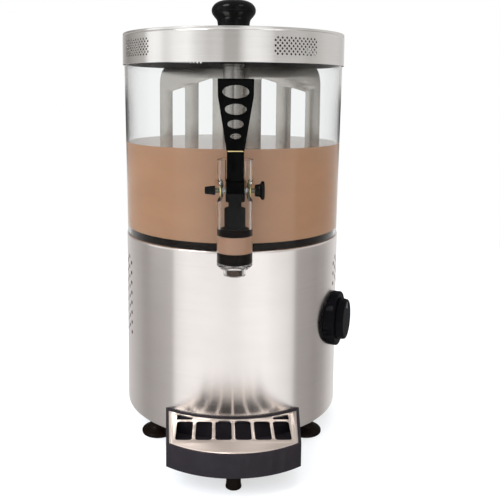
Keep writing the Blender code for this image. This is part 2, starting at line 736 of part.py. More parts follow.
def make_switch():
    """A rocker switch in the rear wall: a flanged frame and a rocker that tips in it."""
    frame = outward(REAR_AZ, SWITCH_Z)
    half_w, half_h = SWITCH_W / 2, SWITCH_H / 2
    flange = SWITCH_WALL
    front = BODY_R + SWITCH_FLANGE
    low = (-half_w - flange, -half_h - flange, BODY_R - OVERRUN)
    housing = block("switch_frame", low, (half_w + flange, half_h + flange, front), SATIN, frame=frame)
    cut(housing, body_circle_cutter("switch_seat", BODY_R + GAP))
    body_low = (-half_w, -half_h, BODY_R - SWITCH_DEPTH)
    fuse(housing, block("switch_body", body_low, (half_w, half_h, front - SWITCH_FLANGE / 2), frame=frame))
    inner_w, inner_h = half_w - SWITCH_WALL, half_h - SWITCH_WALL
    well_low = (-inner_w, -inner_h, BODY_R - SWITCH_DEPTH + SWITCH_WALL)
    cut(housing, block("switch_well", well_low, (inner_w, inner_h, front + OVERRUN), frame=frame))
    half = inner_h - ROCKER_GAP
    rise = half * math.tan(math.radians(ROCKER_TILT))
    outline = [(half, rise), (0.0, 0.0), (-half, rise)]
    outline += arc((0.0, 0.0), half, 180, 360, SMALL_STEPS)[1:-1]
    pivot = Matrix.Translation((0, 0, front))
    tilt = Matrix.Rotation(math.radians(ROCKER_TILT), 4, "Z")
    width = 2 * (inner_w - ROCKER_GAP)
    flat("switch_rocker", [outline], width, frame @ pivot @ SIDEWAYS @ tilt, BLACK)


def make_gland():
    """A cable gland: hexagon, domed cap and threaded stem through the wall, with its nut inside."""
    frame = outward(REAR_AZ, GLAND_Z)
    foot = BODY_R + GAP * 2
    hex_top = foot + GLAND_HEX_H
    top = hex_top + GLAND_CAP_H
    profile = [(GLAND_BORE_R, top), (GLAND_NOSE_R, top), (GLAND_CAP_R, top - GLAND_CAP_H / 2)]
    profile += [(GLAND_CAP_R, foot), (GLAND_THREAD_R, foot), (GLAND_THREAD_R, BODY_R - GLAND_DEPTH)]
    profile += [(GLAND_BORE_R, BODY_R - GLAND_DEPTH)]
    gland = turned("cable_gland", profile, SATIN, PIECE_STEPS, frame)
    middle = GLAND_CAP_R - OVERRUN / 2
    hexagon = ring("gland_hexagon", middle, GLAND_HEX_R, foot, hex_top, None, VENT_SIDES, frame)
    fuse(gland, hexagon)
    nut_top = SHELL_IN_R - GAP - (GLAND_HEX_R**2) / (2 * SHELL_IN_R)
    nut_in = GLAND_THREAD_R + GAP
    ring("gland_nut", nut_in, GLAND_HEX_R, nut_top - GLAND_NUT_H, nut_top, SATIN, VENT_SIDES * 2, frame)


def make_terminal_block():
    """A strip of terminals with ribs between the poles."""
    length = TERMINAL_POLES * TERMINAL_PITCH
    foot = PLATE_TOP + GAP
    turn = Matrix.Rotation(math.radians(TERMINAL_AZ), 4, "Z")
    frame = Matrix.Translation(polar(TERMINAL_CIRCLE_R, TERMINAL_AZ)) @ turn
    low = (-length / 2, -TERMINAL_D / 2, foot)
    strip = block("terminal_block", low, (length / 2, TERMINAL_D / 2, foot + TERMINAL_H), WHITE, frame=frame)
    floor = foot + TERMINAL_H - TERMINAL_RIB_H
    for pole in range(TERMINAL_POLES):
        left = -length / 2 + pole * TERMINAL_PITCH + TERMINAL_RIB / 2
        right = left + TERMINAL_PITCH - TERMINAL_RIB
        well_low = (left, -TERMINAL_D / 2 + TERMINAL_RIB, floor)
        well_high = (right, TERMINAL_D / 2 - TERMINAL_RIB, foot + TERMINAL_H + OVERRUN)
        cut(strip, block("terminal_well", well_low, well_high, frame=frame))


def make_drive_shaft():
    top = BRACKET_TOP - BRACKET_T
    rods("drive_shaft", [((0, 0, top), (0, 0, SHAFT_TOP))], SHAFT_R, POLISHED)


def make_paddle_hub():
    in_r = HUB_R - HUB_WALL
    profile = [(0.0, HUB_TOP), (HUB_R, HUB_TOP), (HUB_R, HUB_BOTTOM), (in_r, HUB_BOTTOM)]
    profile += [(in_r, HUB_TOP - HUB_WALL), (0.0, HUB_TOP - HUB_WALL)]
    hub = turned("paddle_hub", profile, STEEL, PIECE_STEPS, closed=False)
    ring("hub_bush", SHAFT_R + GAP, in_r - GAP, HUB_BOTTOM, HUB_BUSH_TOP, WHITE, PIECE_STEPS)
    foot = HUB_TOP + GAP
    profile = [(0.0, foot + HUB_CAP_H)]
    profile += arc((0.0, foot), HUB_R + HUB_CAP_LIP, 80, 0, ARC_STEPS, HUB_CAP_H / (HUB_R + HUB_CAP_LIP))
    turned("hub_cap", profile + [(0.0, foot)], BLACK, PIECE_STEPS, closed=False)
    bolts_through = []
    for z in BOLT_HEIGHTS:
        bolts_through.append(((0, in_r - OVERRUN / 2, z), (0, BLADE_OFFSET + OVERRUN, z)))
    turn = Matrix.Rotation(math.radians(-BLADE_TURN), 4, "Z")
    cut(hub, rods("hub_bolt_holes", bolts_through, BOLT_R + GAP, steps=SMALL_STEPS, frame=turn))


def blade_outline():
    """The blade's edge, anticlockwise from its lower left corner."""
    half, foot = BLADE_HALF_W, BLADE_FOOT_CORNER
    ratio = BLADE_CORNER_H / BLADE_CORNER_W
    outline = arc((-half + foot, BLADE_BOTTOM + foot), foot, 180, 270)
    outline += arc((half - foot, BLADE_BOTTOM + foot), foot, 270, 360)
    shoulder = BLADE_TOP - BLADE_CORNER_H
    outline += arc((half - BLADE_CORNER_W, shoulder), BLADE_CORNER_W, 0, 90, 2 * ARC_STEPS, ratio)
    outline += arc((-half + BLADE_CORNER_W, shoulder), BLADE_CORNER_W, 90, 180, 2 * ARC_STEPS, ratio)
    return outline


def make_blade():
    """A flat stainless blade, set tangent to the hub, with four tall slots."""
    outlines = [blade_outline()]
    for near, far in SLOT_EDGES:
        for side in (-1, 1):
            top_near = SLOT_TOP_INNER + SLOT_TOP_SLOPE * (near - SLOT_EDGES[0][0])
            top_far = SLOT_TOP_INNER + SLOT_TOP_SLOPE * (far - SLOT_EDGES[0][0])
            slot = [(near, SLOT_BOTTOM + SLOT_CORNER), (near + SLOT_CORNER, SLOT_BOTTOM)]
            slot += [(far - SLOT_CORNER, SLOT_BOTTOM), (far, SLOT_BOTTOM + SLOT_CORNER)]
            slot += [(far, top_far - SLOT_CORNER), (far - SLOT_CORNER, top_far)]
            slot += [(near + SLOT_CORNER, top_near), (near, top_near - SLOT_CORNER)]
            outlines.append([(side * x, z) for x, z in slot])
    for z in BOLT_HEIGHTS:
        outlines.append(ellipse((0.0, z), 2 * (BOLT_R + GAP), 2 * (BOLT_R + GAP), SMALL_STEPS))
    turn = Matrix.Rotation(math.radians(-BLADE_TURN), 4, "Z")
    frame = turn @ Matrix.Translation((0, BLADE_OFFSET, 0)) @ UPRIGHT
    flat("paddle_blade", outlines, BLADE_T, frame, STEEL)
    face = BLADE_OFFSET + BLADE_T / 2 + GAP
    length = face - HUB_R + HUB_WALL + BOLT_REACH
    for number, z in enumerate(BOLT_HEIGHTS, start=1):
        at = turn @ Matrix.Translation((0, face, z)) @ UPRIGHT.inverted()
        screw(f"blade_bolt_{number}", BOLT_HEAD_R, BOLT_HEAD_H, BOLT_R, length, POLISHED, at)


def make_bowl():
    profile = [(BOWL_TOP_R, BOWL_TOP), (BOWL_BOTTOM_R, BOWL_BOTTOM), (BOWL_BOTTOM_IN_R, BOWL_BOTTOM)]
    profile += [(BOWL_TOP_R - BOWL_WALL, BOWL_TOP)]
    bowl = turned("bowl", profile, CLEAR)
    span = ((0, -BOWL_BOTTOM_R - OVERRUN, NECK_Z), (0, -BOWL_BOTTOM_IN_R + OVERRUN, NECK_Z))
    return cut(bowl, rods("outlet_hole", [span], NECK_R + GAP))


def make_tap_barrel():
    """A clear barrel with its nozzle, its neck through the bowl's wall, and a slot for the lever."""
    foot_r = NOZZLE_R + BARREL_CHAMFER
    profile = [(BARREL_R, BARREL_TOP), (BARREL_R, BARREL_SHOULDER)]
    profile += [(foot_r, BARREL_SHOULDER - BARREL_CHAMFER), (NOZZLE_R, BARREL_SHOULDER - BARREL_CHAMFER)]
    profile += [(NOZZLE_R, NOZZLE_BOTTOM), (NOZZLE_BORE_R, NOZZLE_BOTTOM), (NOZZLE_BORE_R, SEAT_BOTTOM)]
    profile += [(BARREL_BORE_R, SEAT_BOTTOM + SEAT_RISE), (BARREL_BORE_R, BARREL_TOP)]
    frame = Matrix.Translation((0, TAP_Y, 0))
    barrel = turned("tap_barrel", profile, CLEAR, INNER_STEPS, frame)
    inside = TAP_Y + (BARREL_R + BARREL_BORE_R) / 2
    draft = (BOWL_TOP_R - BOWL_BOTTOM_R) / (BOWL_TOP - BOWL_BOTTOM)
    wall_r = BOWL_BOTTOM_R + draft * (NECK_Z + NECK_FLANGE_R - BOWL_BOTTOM) + GAP
    flange = rods(
        "neck_flange", [((0, -wall_r - NECK_FLANGE_T, NECK_Z), (0, -wall_r + OVERRUN, NECK_Z))], NECK_FLANGE_R
    )
    cut(flange, body_circle_cutter("flange_seat", wall_r))
    neck = rods("tap_neck", [((0, inside, NECK_Z), (0, -BOWL_BOTTOM_IN_R - GAP, NECK_Z))], NECK_R)
    fuse(barrel, neck, flange)
    bore = rods("neck_bore", [((0, TAP_Y, NECK_Z), (0, -BOWL_BOTTOM_IN_R + OVERRUN, NECK_Z))], NECK_BORE_R)
    half = LEVER_HUB_W / 2 + GAP
    slot_low = (-half, TAP_Y - BARREL_R - OVERRUN, PIVOT_Z - STEM_EDGE_R)
    slot = block("lever_slot", slot_low, (half, TAP_Y, BARREL_TOP + OVERRUN))
    flats = []
    for side in (-1, 1):
        flats.append(((side * SIDE_FLAT_X, TAP_Y, PIVOT_Z), (side * (BARREL_R + OVERRUN), TAP_Y, PIVOT_Z)))
    side_flats = rods("side_flats", flats, SIDE_FLAT_R)
    across = BARREL_R + OVERRUN
    pin_hole = rods("pin_hole", [((-across, TAP_Y, PIVOT_Z), (across, TAP_Y, PIVOT_Z))], PIVOT_PIN_R + GAP)
    return cut(barrel, bore, slot, side_flats, pin_hole)


def make_piston():
    """The piston's stem and rod, with a tongue at the rear that the link pin lifts."""
    plug_foot = SEAT_BOTTOM + GAP
    head_top = plug_foot - GAP
    profile = [(0.0, PISTON_ROD_TOP), (PISTON_ROD_R, PISTON_ROD_TOP), (PISTON_ROD_R, SEAL_TOP + GAP)]
    profile += [(PISTON_STEM_R, SEAL_TOP + GAP), (PISTON_STEM_R, head_top), (PISTON_HEAD_R, head_top)]
    profile += [(PISTON_HEAD_R, head_top - PISTON_HEAD_H), (0.0, head_top - PISTON_HEAD_H)]
    frame = Matrix.Translation((0, TAP_Y, 0))
    piston = turned("tap_piston", profile, BLACK, PIECE_STEPS, frame, closed=False)
    tongue_top = PIVOT_Z + LINK_Z + TONGUE_OVER_PIN
    low = (-TONGUE_HALF_W, TAP_Y + TONGUE_FRONT, (SEAL_TOP + PISTON_ROD_TOP) / 2)
    tongue = block("piston_tongue", low, (TONGUE_HALF_W, TAP_Y + TONGUE_BACK, tongue_top))
    reach = LINK_PIN_R + LINK_SLOT_SLACK / 2
    slot_z = PIVOT_Z + LINK_Z
    slot_low = (-TONGUE_HALF_W - OVERRUN, TAP_Y + LINK_Y - reach, slot_z - LINK_SLOT_H)
    slot_high = (TONGUE_HALF_W + OVERRUN, TAP_Y + LINK_ARM + reach, slot_z + LINK_SLOT_H)
    fuse(piston, tongue)
    cut(piston, block("link_slot", slot_low, slot_high))
    in_r = PISTON_STEM_R + GAP
    ring("piston_seal", in_r, SEAL_R, SEAL_BOTTOM, SEAL_TOP, RUBBER, PIECE_STEPS, frame)
    foot_r = NOZZLE_BORE_R - GAP
    shoulder = plug_foot + SEAT_SLOPE * (SEAL_R - foot_r)
    profile = [(SEAL_R, PLUG_TOP), (SEAL_R, shoulder), (foot_r, plug_foot), (in_r, plug_foot)]
    turned("outlet_plug", profile + [(in_r, PLUG_TOP)], RUBBER, PIECE_STEPS, frame)


def make_lever():
    """The lever: a pierced grip on a stem, and a hub with a pocket for the piston's tongue."""
    frame = Matrix.Translation((0, TAP_Y, PIVOT_Z))
    half = LEVER_HUB_W / 2
    lever = rods("tap_lever", [((-half, 0, 0), (half, 0, 0))], LEVER_HUB_R, BLACK, INNER_STEPS, frame=frame)
    stem_low = (-STEM_W / 2, -STEM_FRONT, 0)
    stem = block("lever_stem", stem_low, (STEM_W / 2, STEM_BACK, STEM_H), None, STEM_EDGE_R, frame)
    outline = [(-GRIP_FOOT_W / 2, GRIP_FOOT), (GRIP_FOOT_W / 2, GRIP_FOOT), (GRIP_KINK_W / 2, GRIP_KINK)]
    outline += [(GRIP_TOP_W / 2, GRIP_TOP), (-GRIP_TOP_W / 2, GRIP_TOP), (-GRIP_KINK_W / 2, GRIP_KINK)]
    holes = [ellipse((0.0, z), width, height) for z, width, height in GRIP_HOLES]
    middle = GRIP_T / 2 - GRIP_FRONT
    grip = flat("lever_grip", [outline] + holes, GRIP_T, frame @ Matrix.Translation((0, middle, 0)) @ UPRIGHT)
    fuse(lever, stem, grip)
    far = LEVER_HUB_R + OVERRUN
    cos, sin = math.cos(PULL), math.sin(PULL)
    knee = (POCKET_FRONT * cos - POCKET_PULLED_FRONT) / sin
    low_front = (POCKET_PULLED_FRONT - far * sin) / cos
    outline = [(POCKET_FRONT, far), (POCKET_FRONT, knee), (low_front, -far), (far, -far), (far, far)]
    pocket = flat("hub_pocket", [outline], 2 * POCKET_HALF_W, frame @ SIDEWAYS)
    pin = rods("lever_pin_hole", [((-far, 0, 0), (far, 0, 0))], PIVOT_PIN_R + GAP, frame=frame)
    link_at = (0, LINK_Y, LINK_Z)
    link_frame = frame @ Matrix.Translation(link_at)
    link_hole = rods("link_pin_hole", [((-far, 0, 0), (far, 0, 0))], LINK_PIN_R + GAP, steps=SMALL_STEPS)
    link_hole.matrix_world = link_frame
    cut(lever, pocket, pin, link_hole)
    rods("link_pin", [((-half, 0, 0), (half, 0, 0))], LINK_PIN_R, POLISHED, SMALL_STEPS, frame=link_frame)


def make_pivot_pin():
    """The pin through barrel and lever, with a washer on each side, a cap and a clamping knob."""
    frame = Matrix.Translation((0, TAP_Y, PIVOT_Z))
    end = PIN_NECK_END + PIN_END_IN_CAP
    rods("pivot_pin", [((-end, 0, 0), (end, 0, 0))], PIVOT_PIN_R, POLISHED, frame=frame)
    spin = Matrix.Rotation(math.radians(90), 4, "Y")
    sides = (("left", frame @ spin.inverted()), ("right", frame @ spin))
    for side, outwards in sides:
        face = SIDE_FLAT_X + GAP
        bore = PIVOT_PIN_R + GAP
        ring(f"pivot_washer_{side}", bore, WASHER_R, face, face + WASHER_T, SATIN, PIECE_STEPS, outwards)
    bore = PIVOT_PIN_R + GAP
    floor = end + GAP
    top = PIN_NECK_END + CAP_L
    profile = [(0.0, top), (CAP_TIP_R, top), (CAP_BASE_R, PIN_NECK_END), (bore, PIN_NECK_END)]
    profile += [(bore, floor), (0.0, floor)]
    turned("pin_cap", profile, BLACK, PIECE_STEPS, sides[0][1], closed=False)
    body_top = PIN_NECK_END + KNOB_BODY_L
    top = body_top + KNOB_FLANGE_L
    profile = [(0.0, top), (KNOB_FLANGE_R, top), (KNOB_FLANGE_R, body_top + KNOB_FLANGE_L / 3)]
    profile += [(KNOB_BODY_R, body_top), (KNOB_BODY_R, PIN_NECK_END), (bore, PIN_NECK_END)]
    profile += [(bore, floor), (0.0, floor)]
    turned("pin_knob", profile, BLACK, PIECE_STEPS, sides[1][1], closed=False)


def make_lid():
    """A pressed lid: a flat top, a rolled edge over a fine groove, and a deep band."""
    roll = (LID_R - LID_BEAD_R, LID_TOP - LID_BEAD_R)
    groove = LID_TOP - 2 * LID_BEAD_R
    profile = [(LID_HOLE_R, LID_TOP)] + arc(roll, LID_BEAD_R, 90, -60)
    profile += [(LID_R - LID_GROOVE, groove - LID_GROOVE_H), (LID_R, groove - 2 * LID_GROOVE_H)]
    profile += [(LID_R, LID_BOTTOM), (LID_IN_R, LID_BOTTOM), (LID_IN_R, LID_TOP - LID_T)]
    profile += [(LID_HOLE_R, LID_TOP - LID_T)]
    turned("lid_shell", profile, STEEL)
    out_r = LID_IN_R - GAP
    low = BOWL_TOP + GAP
    high = LID_TOP - LID_T - GAP
    ring("lid_seat_ring", out_r - SEAT_RING_W, out_r, low, high, RUBBER, HIDDEN_RING_STEPS)


def make_lid_knob():
    foot = LID_TOP + GAP
    top = foot + LID_KNOB_H
    wide = foot + LID_KNOB_WIDE_H
    bore = LID_HOLE_R - GAP
    floor = foot + KNOB_SCREW_DEPTH
    crown = LID_KNOB_R - LID_KNOB_FLAT_R
    profile = [(0.0, top)] + arc((LID_KNOB_FLAT_R, wide), crown, 90, 0, 2 * ARC_STEPS, (top - wide) / crown)
    profile += [(LID_KNOB_UNDER_R, foot + LID_KNOB_UNDER_H), (LID_KNOB_WAIST_R, foot + LID_KNOB_WAIST_H)]
    profile += [(LID_KNOB_BASE_R, foot + LID_KNOB_WAIST_H / 2), (LID_KNOB_BASE_R, foot)]
    profile += [(bore, foot), (bore, floor), (0.0, floor)]
    turned("lid_knob", profile, BLACK, INNER_STEPS, closed=False)
    under = LID_TOP - LID_T - GAP
    shank = bore - GAP
    profile = [(0.0, floor - GAP), (shank, floor - GAP), (shank, under), (SCREW_HEAD_R, under)]
    profile += [(SCREW_HEAD_R, under - SCREW_HEAD_H), (0.0, under - SCREW_HEAD_H)]
    turned("lid_knob_screw", profile, POLISHED, SMALL_STEPS, closed=False)


def meet_side(centre_y, radius, inset):
    """Where the tray's right side meets a circle on the Y axis: the front crossing."""
    slope = TRAY_SIDE_SLOPE
    start = TRAY_CORNER_HALF_W - inset - slope * TRAY_CORNER_Y
    a = slope**2 + 1
    b = slope * start - centre_y
    c = start**2 + centre_y**2 - radius**2
    y = (-b - math.sqrt(b**2 - a * c)) / a
    return start + slope * y, y


def tray_outline(inset):
    """The tray's plan: a hollow back round the body, tapered sides and a bowed front."""
    back_r = BODY_R + GAP + inset
    bow_y = TRAY_FRONT_Y + TRAY_BOW_R
    bow_r = TRAY_BOW_R - inset
    back_x, _ = meet_side(0.0, back_r, inset)
    front_x, _ = meet_side(bow_y, bow_r, inset)
    back = math.degrees(math.asin(back_x / back_r))
    bow = math.degrees(math.asin(front_x / bow_r))
    outline = arc((0.0, 0.0), back_r, 270 + back, 270 - back, TRAY_ARC_STEPS)
    outline += arc((0.0, bow_y), bow_r, 270 - bow, 270 + bow, TRAY_ARC_STEPS)
    return outline


def slab(name, outline, low, high, finish=None):
    frame = Matrix.Translation((0, 0, (low + high) / 2))
    return flat(name, [outline], high - low, frame, finish)


def hook_box(side, room):
    """The box of one tray hook through the body's wall, with room around it."""
    low_x = side * HOOK_X - HOOK_W / 2 - room
    high_x = low_x + HOOK_W + 2 * room
    wall_y = -math.sqrt(BODY_R**2 - HOOK_X**2)
    reach = HOOK_REACH + (OVERRUN if room else 0.0)
    root = HOOK_ROOT + (OVERRUN if room else 0.0)
    low = (low_x, wall_y - root, HOOK_Z - HOOK_H / 2 - room)
    return low, (high_x, wall_y + reach, HOOK_Z + HOOK_H / 2 + room)


def make_tray():
    """The drip tray: walls with a ledge for the grille, and two hooks into the body."""
    tray = slab("drip_tray", tray_outline(0.0), TRAY_BOTTOM, TRAY_RIM, SATIN)
    ledge_z = GRILLE_TOP - GRILLE_T - GAP
    mouth = slab("tray_mouth", tray_outline(TRAY_WALL), ledge_z, TRAY_RIM + OVERRUN)
    basin = slab("tray_basin", tray_outline(TRAY_WALL + TRAY_LEDGE), TRAY_BOTTOM + TRAY_FLOOR, TRAY_RIM)
    cut(tray, mouth, basin)
    for side in (-1, 1):
        low, high = hook_box(side, 0.0)
        fuse(tray, block("tray_hook", low, high))
    top = TRAY_BOTTOM - GAP
    pad_top = TABLE_Z + TRAY_FOOT_PAD_H
    profile = [(0.0, top), (TRAY_FOOT_R, top), (TRAY_FOOT_R, pad_top), (TRAY_FOOT_PAD_R, pad_top)]
    profile += [(TRAY_FOOT_PAD_R, TABLE_Z), (0.0, TABLE_Z)]
    frame = Matrix.Translation((0, TRAY_FOOT_Y, 0))
    turned("tray_foot", profile, RUBBER, PIECE_STEPS, frame, closed=False)


def make_grille():
    """The steel grille: a lipped plate with a row of tall windows and a slot behind at each side."""
    grille = slab("drip_grille", tray_outline(TRAY_WALL + GAP), GRILLE_TOP - GRILLE_T, GRILLE_TOP, STEEL)
    inner = tray_outline(TRAY_WALL + GAP + GRILLE_LIP_W)
    cut(grille, slab("grille_recess", inner, GRILLE_TOP - GRILLE_LIP_H, GRILLE_TOP + OVERRUN))
    windows = []
    pitch = WINDOW_W + WINDOW_BAR
    for window in range(WINDOW_COUNT):
        left = (window - WINDOW_COUNT / 2) * pitch + WINDOW_BAR / 2
        windows.append(rounded_box((left, WINDOW_FRONT), (left + WINDOW_W, WINDOW_BACK), WINDOW_CORNER_R))
    back_r = BODY_R + GAP + TRAY_WALL + REAR_SLOT_BORDER
    for side in (-1, 1):
        slot = [(side * REAR_SLOT_OUT, REAR_SLOT_FRONT), (side * REAR_SLOT_IN, REAR_SLOT_FRONT)]
        for x in (REAR_SLOT_IN, (REAR_SLOT_IN + REAR_SLOT_OUT) / 2, REAR_SLOT_OUT):
            slot.append((side * x, -math.sqrt(back_r**2 - x**2)))
        windows.append(slot)
    frame = Matrix.Translation((0, 0, GRILLE_TOP))
    cut(grille, flat("grille_windows", windows, 2 * OVERRUN, frame))


def main():
    clear_scene()
    make_base_shell()
    make_base_plate()
    make_feet()
    make_foot_screws()
    make_heating_pan()
    make_motor_bracket()
    make_gear_motor()
    make_thermostat()
    make_dial()
    make_switch()
    make_gland()
    make_terminal_block()
    make_drive_shaft()
    make_paddle_hub()
    make_blade()
    make_bowl()
    make_tap_barrel()
    make_piston()
    make_lever()
    make_pivot_pin()
    make_lid()
    make_lid_knob()
    make_tray()
    make_grille()


main()
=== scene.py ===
"""Looks for the hot chocolate dispenser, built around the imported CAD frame.

Metres, +Z up, tap towards -Y, origin on the axis at the underside of the base plate's pad.
"""

import json
import math

import bmesh
import bpy
from mathutils import Matrix, Vector

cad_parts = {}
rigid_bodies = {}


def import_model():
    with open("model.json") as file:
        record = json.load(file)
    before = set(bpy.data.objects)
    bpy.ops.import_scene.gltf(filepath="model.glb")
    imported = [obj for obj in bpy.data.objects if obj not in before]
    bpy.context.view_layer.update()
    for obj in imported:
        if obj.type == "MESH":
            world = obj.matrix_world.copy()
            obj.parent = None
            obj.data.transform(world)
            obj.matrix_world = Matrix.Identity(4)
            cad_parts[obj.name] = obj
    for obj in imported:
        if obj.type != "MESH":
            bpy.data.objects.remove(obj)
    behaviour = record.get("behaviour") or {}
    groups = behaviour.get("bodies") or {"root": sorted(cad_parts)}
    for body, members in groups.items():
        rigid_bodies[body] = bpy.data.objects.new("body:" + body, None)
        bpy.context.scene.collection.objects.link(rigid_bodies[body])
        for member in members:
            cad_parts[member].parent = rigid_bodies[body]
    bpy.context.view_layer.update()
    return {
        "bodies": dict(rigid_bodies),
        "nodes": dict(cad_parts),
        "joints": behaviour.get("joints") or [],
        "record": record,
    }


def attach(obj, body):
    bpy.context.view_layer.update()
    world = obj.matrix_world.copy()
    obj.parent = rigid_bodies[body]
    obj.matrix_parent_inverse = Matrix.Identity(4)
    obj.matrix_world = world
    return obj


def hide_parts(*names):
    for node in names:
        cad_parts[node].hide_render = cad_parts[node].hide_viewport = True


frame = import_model()
NODES = frame["nodes"]

# Camera, fitted to the photograph
IMAGE = 500
FOCAL_PX = 699.0
CAMERA_DISTANCE = 0.8774
CAMERA_Z = 0.3887
CAMERA_PITCH = 6.38
CAMERA_ROLL = 0.42
CAMERA_AZIMUTH = -1.0
CENTRE_PX = (232.6, 169.1)

# Stage
TABLE_Z = -0.021
FLOOR_SIZE = 8.0

# Body and bowl, as in the CAD
BODY_R = 0.132
BODY_TOP = 0.2143
BOWL_BOTTOM_R = 0.131
BOWL_TOP_R = 0.1342
BOWL_WALL = 0.003
BOWL_TOP = 0.451
BOWL_BOTTOM = 0.2146
LIQUID_TOP = 0.3265
TAP_Y = -0.160

FOOT_AZIMUTHS = (52.0, 128.0, 232.0, 308.0)
FOOT_CIRCLE_R = 0.112
PIVOT_Z = 0.2863
LID_R = 0.1357

# Drip tray
TRAY_HALF_W = 0.0698
TRAY_CORNER_Y = -BODY_R - 0.0618
TRAY_SLOPE = 0.078
TRAY_FRONT_Y = -BODY_R - 0.0823
TRAY_BOW_R = 0.1150

# Vent holes, dial and lid perforations
VENT_COLUMNS = 5
VENT_ROWS = 8
VENT_R = 0.00265
VENT_FIRST_AZ = 67.4
VENT_PITCH_AZ = 4.0
VENT_TOP = 0.1820
VENT_PITCH = 0.01225
DIAL_AZ = 68.0
DIAL_Z = 0.1144
DIAL_CLEAR = 0.0385
HOLE_FIELDS = (-56.5, 29.6, 123.5, 209.6)
HOLE_Z = 0.4369
HOLE_ROWS = 7
HOLE_COUNT = 11
HOLE_PITCH = 0.0054
HOLE_ROW_PITCH = 0.00285
HOLE_R = 0.0013

# Wall, skin and edge sizes
SHEET = 0.0012
ROLL = 0.008
OVERCUT = 0.004
WINDOW_W = 0.0177
WINDOW_PITCH = 0.0211
WINDOW_FRONT = -BODY_R - 0.0485
WINDOW_BACK = -BODY_R - 0.007

# Stirring blade and hub
BLADE_HALF_W = 0.1071
BLADE_BOTTOM = 0.2310
BLADE_TOP = 0.4180
BLADE_FOOT_R = 0.010
BLADE_CORNER_R = 0.0085
BLADE_CORNER_STRETCH = 2.59
BLADE_T = 0.0015
HUB_R = 0.0127
HUB_TOP = 0.4192
HUB_BOTTOM = 0.2275
HUB_WALL = 0.0015

# Tap: barrel, nozzle and piston
BARREL_R = 0.01875
BARREL_IN_R = 0.01575
BARREL_TOP = 0.3190
NOZZLE_R = 0.01175
NOZZLE_IN_R = 0.0085
NOZZLE_BOTTOM = 0.1968
NECK_Z = 0.23
PIN_R = 0.003
PIN_END = 0.0265
CAP_FOOT = 0.0205

# Blade slots and the grip's holes
BLADE_TURN = 20.0
SLOTS = ((0.0325, 0.0521), (0.0708, 0.0890))
SLOT_TOP = 0.4050
SLOT_SLOPE = -0.30
GRIP_HOLES = (
    (0.0560, 0.0112, 0.0059),
    (0.0685, 0.0166, 0.0090),
    (0.0837, 0.0224, 0.0113),
    (0.1016, 0.0272, 0.0136),
)

STEPS = 160
PIECE_STEPS = 64
WET = 0.0002
GAP = 0.0003

# The studio that metal mirrors, by azimuth from the front: brightness below and above the horizon
LOW_TONES = (
    (-180, 0.75), (-145, 0.62), (-128, 0.52), (-118, 0.45), (-110, 0.38), (-102, 0.35), (-83, 0.41), (-66, 0.50),
    (-64, 0.84), (-58, 0.92), (-48, 1.00), (-27, 1.06), (-2, 1.05), (6, 1.04), (35, 1.09), (50, 1.00), (61, 0.90),
    (68, 0.80), (70.5, 0.45), (75, 0.385), (88, 0.36), (101, 0.31), (116, 0.38), (130, 0.58), (145, 0.75),
    (180, 0.75),
)
HIGH_TONES = (
    (-180, 0.85), (-155, 0.45), (-136, 0.29), (-122, 0.39), (-102, 0.55), (-95, 1.08), (-87, 1.15), (-80, 1.1),
    (-73, 0.88), (-61, 1.0), (-47, 1.02), (-37, 0.74), (-29, 0.62), (-24, 0.56), (-19, 0.61), (-13, 0.57),
    (-9, 0.37), (3, 0.37), (11, 0.84), (16, 0.95), (24, 0.95), (31, 0.84), (36, 0.73), (41, 0.50), (58, 0.53),
    (72, 0.60), (82, 0.54), (106, 0.68), (127, 0.67), (143, 0.60), (155, 0.65), (180, 0.85),
)


def srgb(red, green, blue):
    """A colour given as 0-255 sRGB, as linear light."""
    found = []
    for value in (red, green, blue):
        value /= 255
        found.append(value / 12.92 if value <= 0.04045 else ((value + 0.055) / 1.055) ** 2.4)
    return (*found, 1.0)


class Nodes:
    """A small helper that adds and links shader nodes."""

    def __init__(self, tree):
        self.tree = tree

    def add(self, kind, inputs=None, **settings):
        node = self.tree.nodes.new(kind)
        for key, value in settings.items():
            setattr(node, key, value)
        for key, value in (inputs or {}).items():
            self.put(node.inputs[key], value)
        return node

    def put(self, socket, value):
        if isinstance(value, bpy.types.NodeSocket):
            self.tree.links.new(value, socket)
        else:
            socket.default_value = value

    def math(self, operation, first, second=0.0, third=0.0):
        node = self.add("ShaderNodeMath", operation=operation)
        for socket, value in zip(node.inputs, (first, second, third)):
            self.put(socket, value)
        return node.outputs[0]

    def ramp(self, fac, stops, mode="LINEAR"):
        node = self.add("ShaderNodeValToRGB", {"Fac": fac})
        node.color_ramp.interpolation = mode
        elements = node.color_ramp.elements
        while len(elements) < len(stops):
            elements.new(0.5)
        for element, (place, colour) in zip(elements, stops):
            element.position = place
            element.color = colour if len(colour) == 4 else (*colour, 1.0)
        return node.outputs["Color"]

    def mix(self, fac, first, second, blend="MIX"):
        node = self.add("ShaderNodeMix", data_type="RGBA", blend_type=blend)
        self.put(node.inputs["Factor"], fac)
        self.put(node.inputs["A"], first)
        self.put(node.inputs["B"], second)
        return node.outputs["Result"]


def material(name):
    made = bpy.data.materials.new(name)
    made.use_nodes = True
    shader = made.node_tree.nodes["Principled BSDF"]
    return made, Nodes(made.node_tree), shader


def object_place(nodes):
    return nodes.add("ShaderNodeTexCoord").outputs["Object"]


def stretched_noise(nodes, scale, stretch, detail=3.0, roughness=0.6):
    mapping = nodes.add("ShaderNodeMapping", {"Vector": object_place(nodes), "Scale": stretch})
    noise = nodes.add(
        "ShaderNodeTexNoise",
        {"Vector": mapping.outputs[0], "Scale": scale, "Detail": detail, "Roughness": roughness},
    )
    return noise.outputs["Fac"]


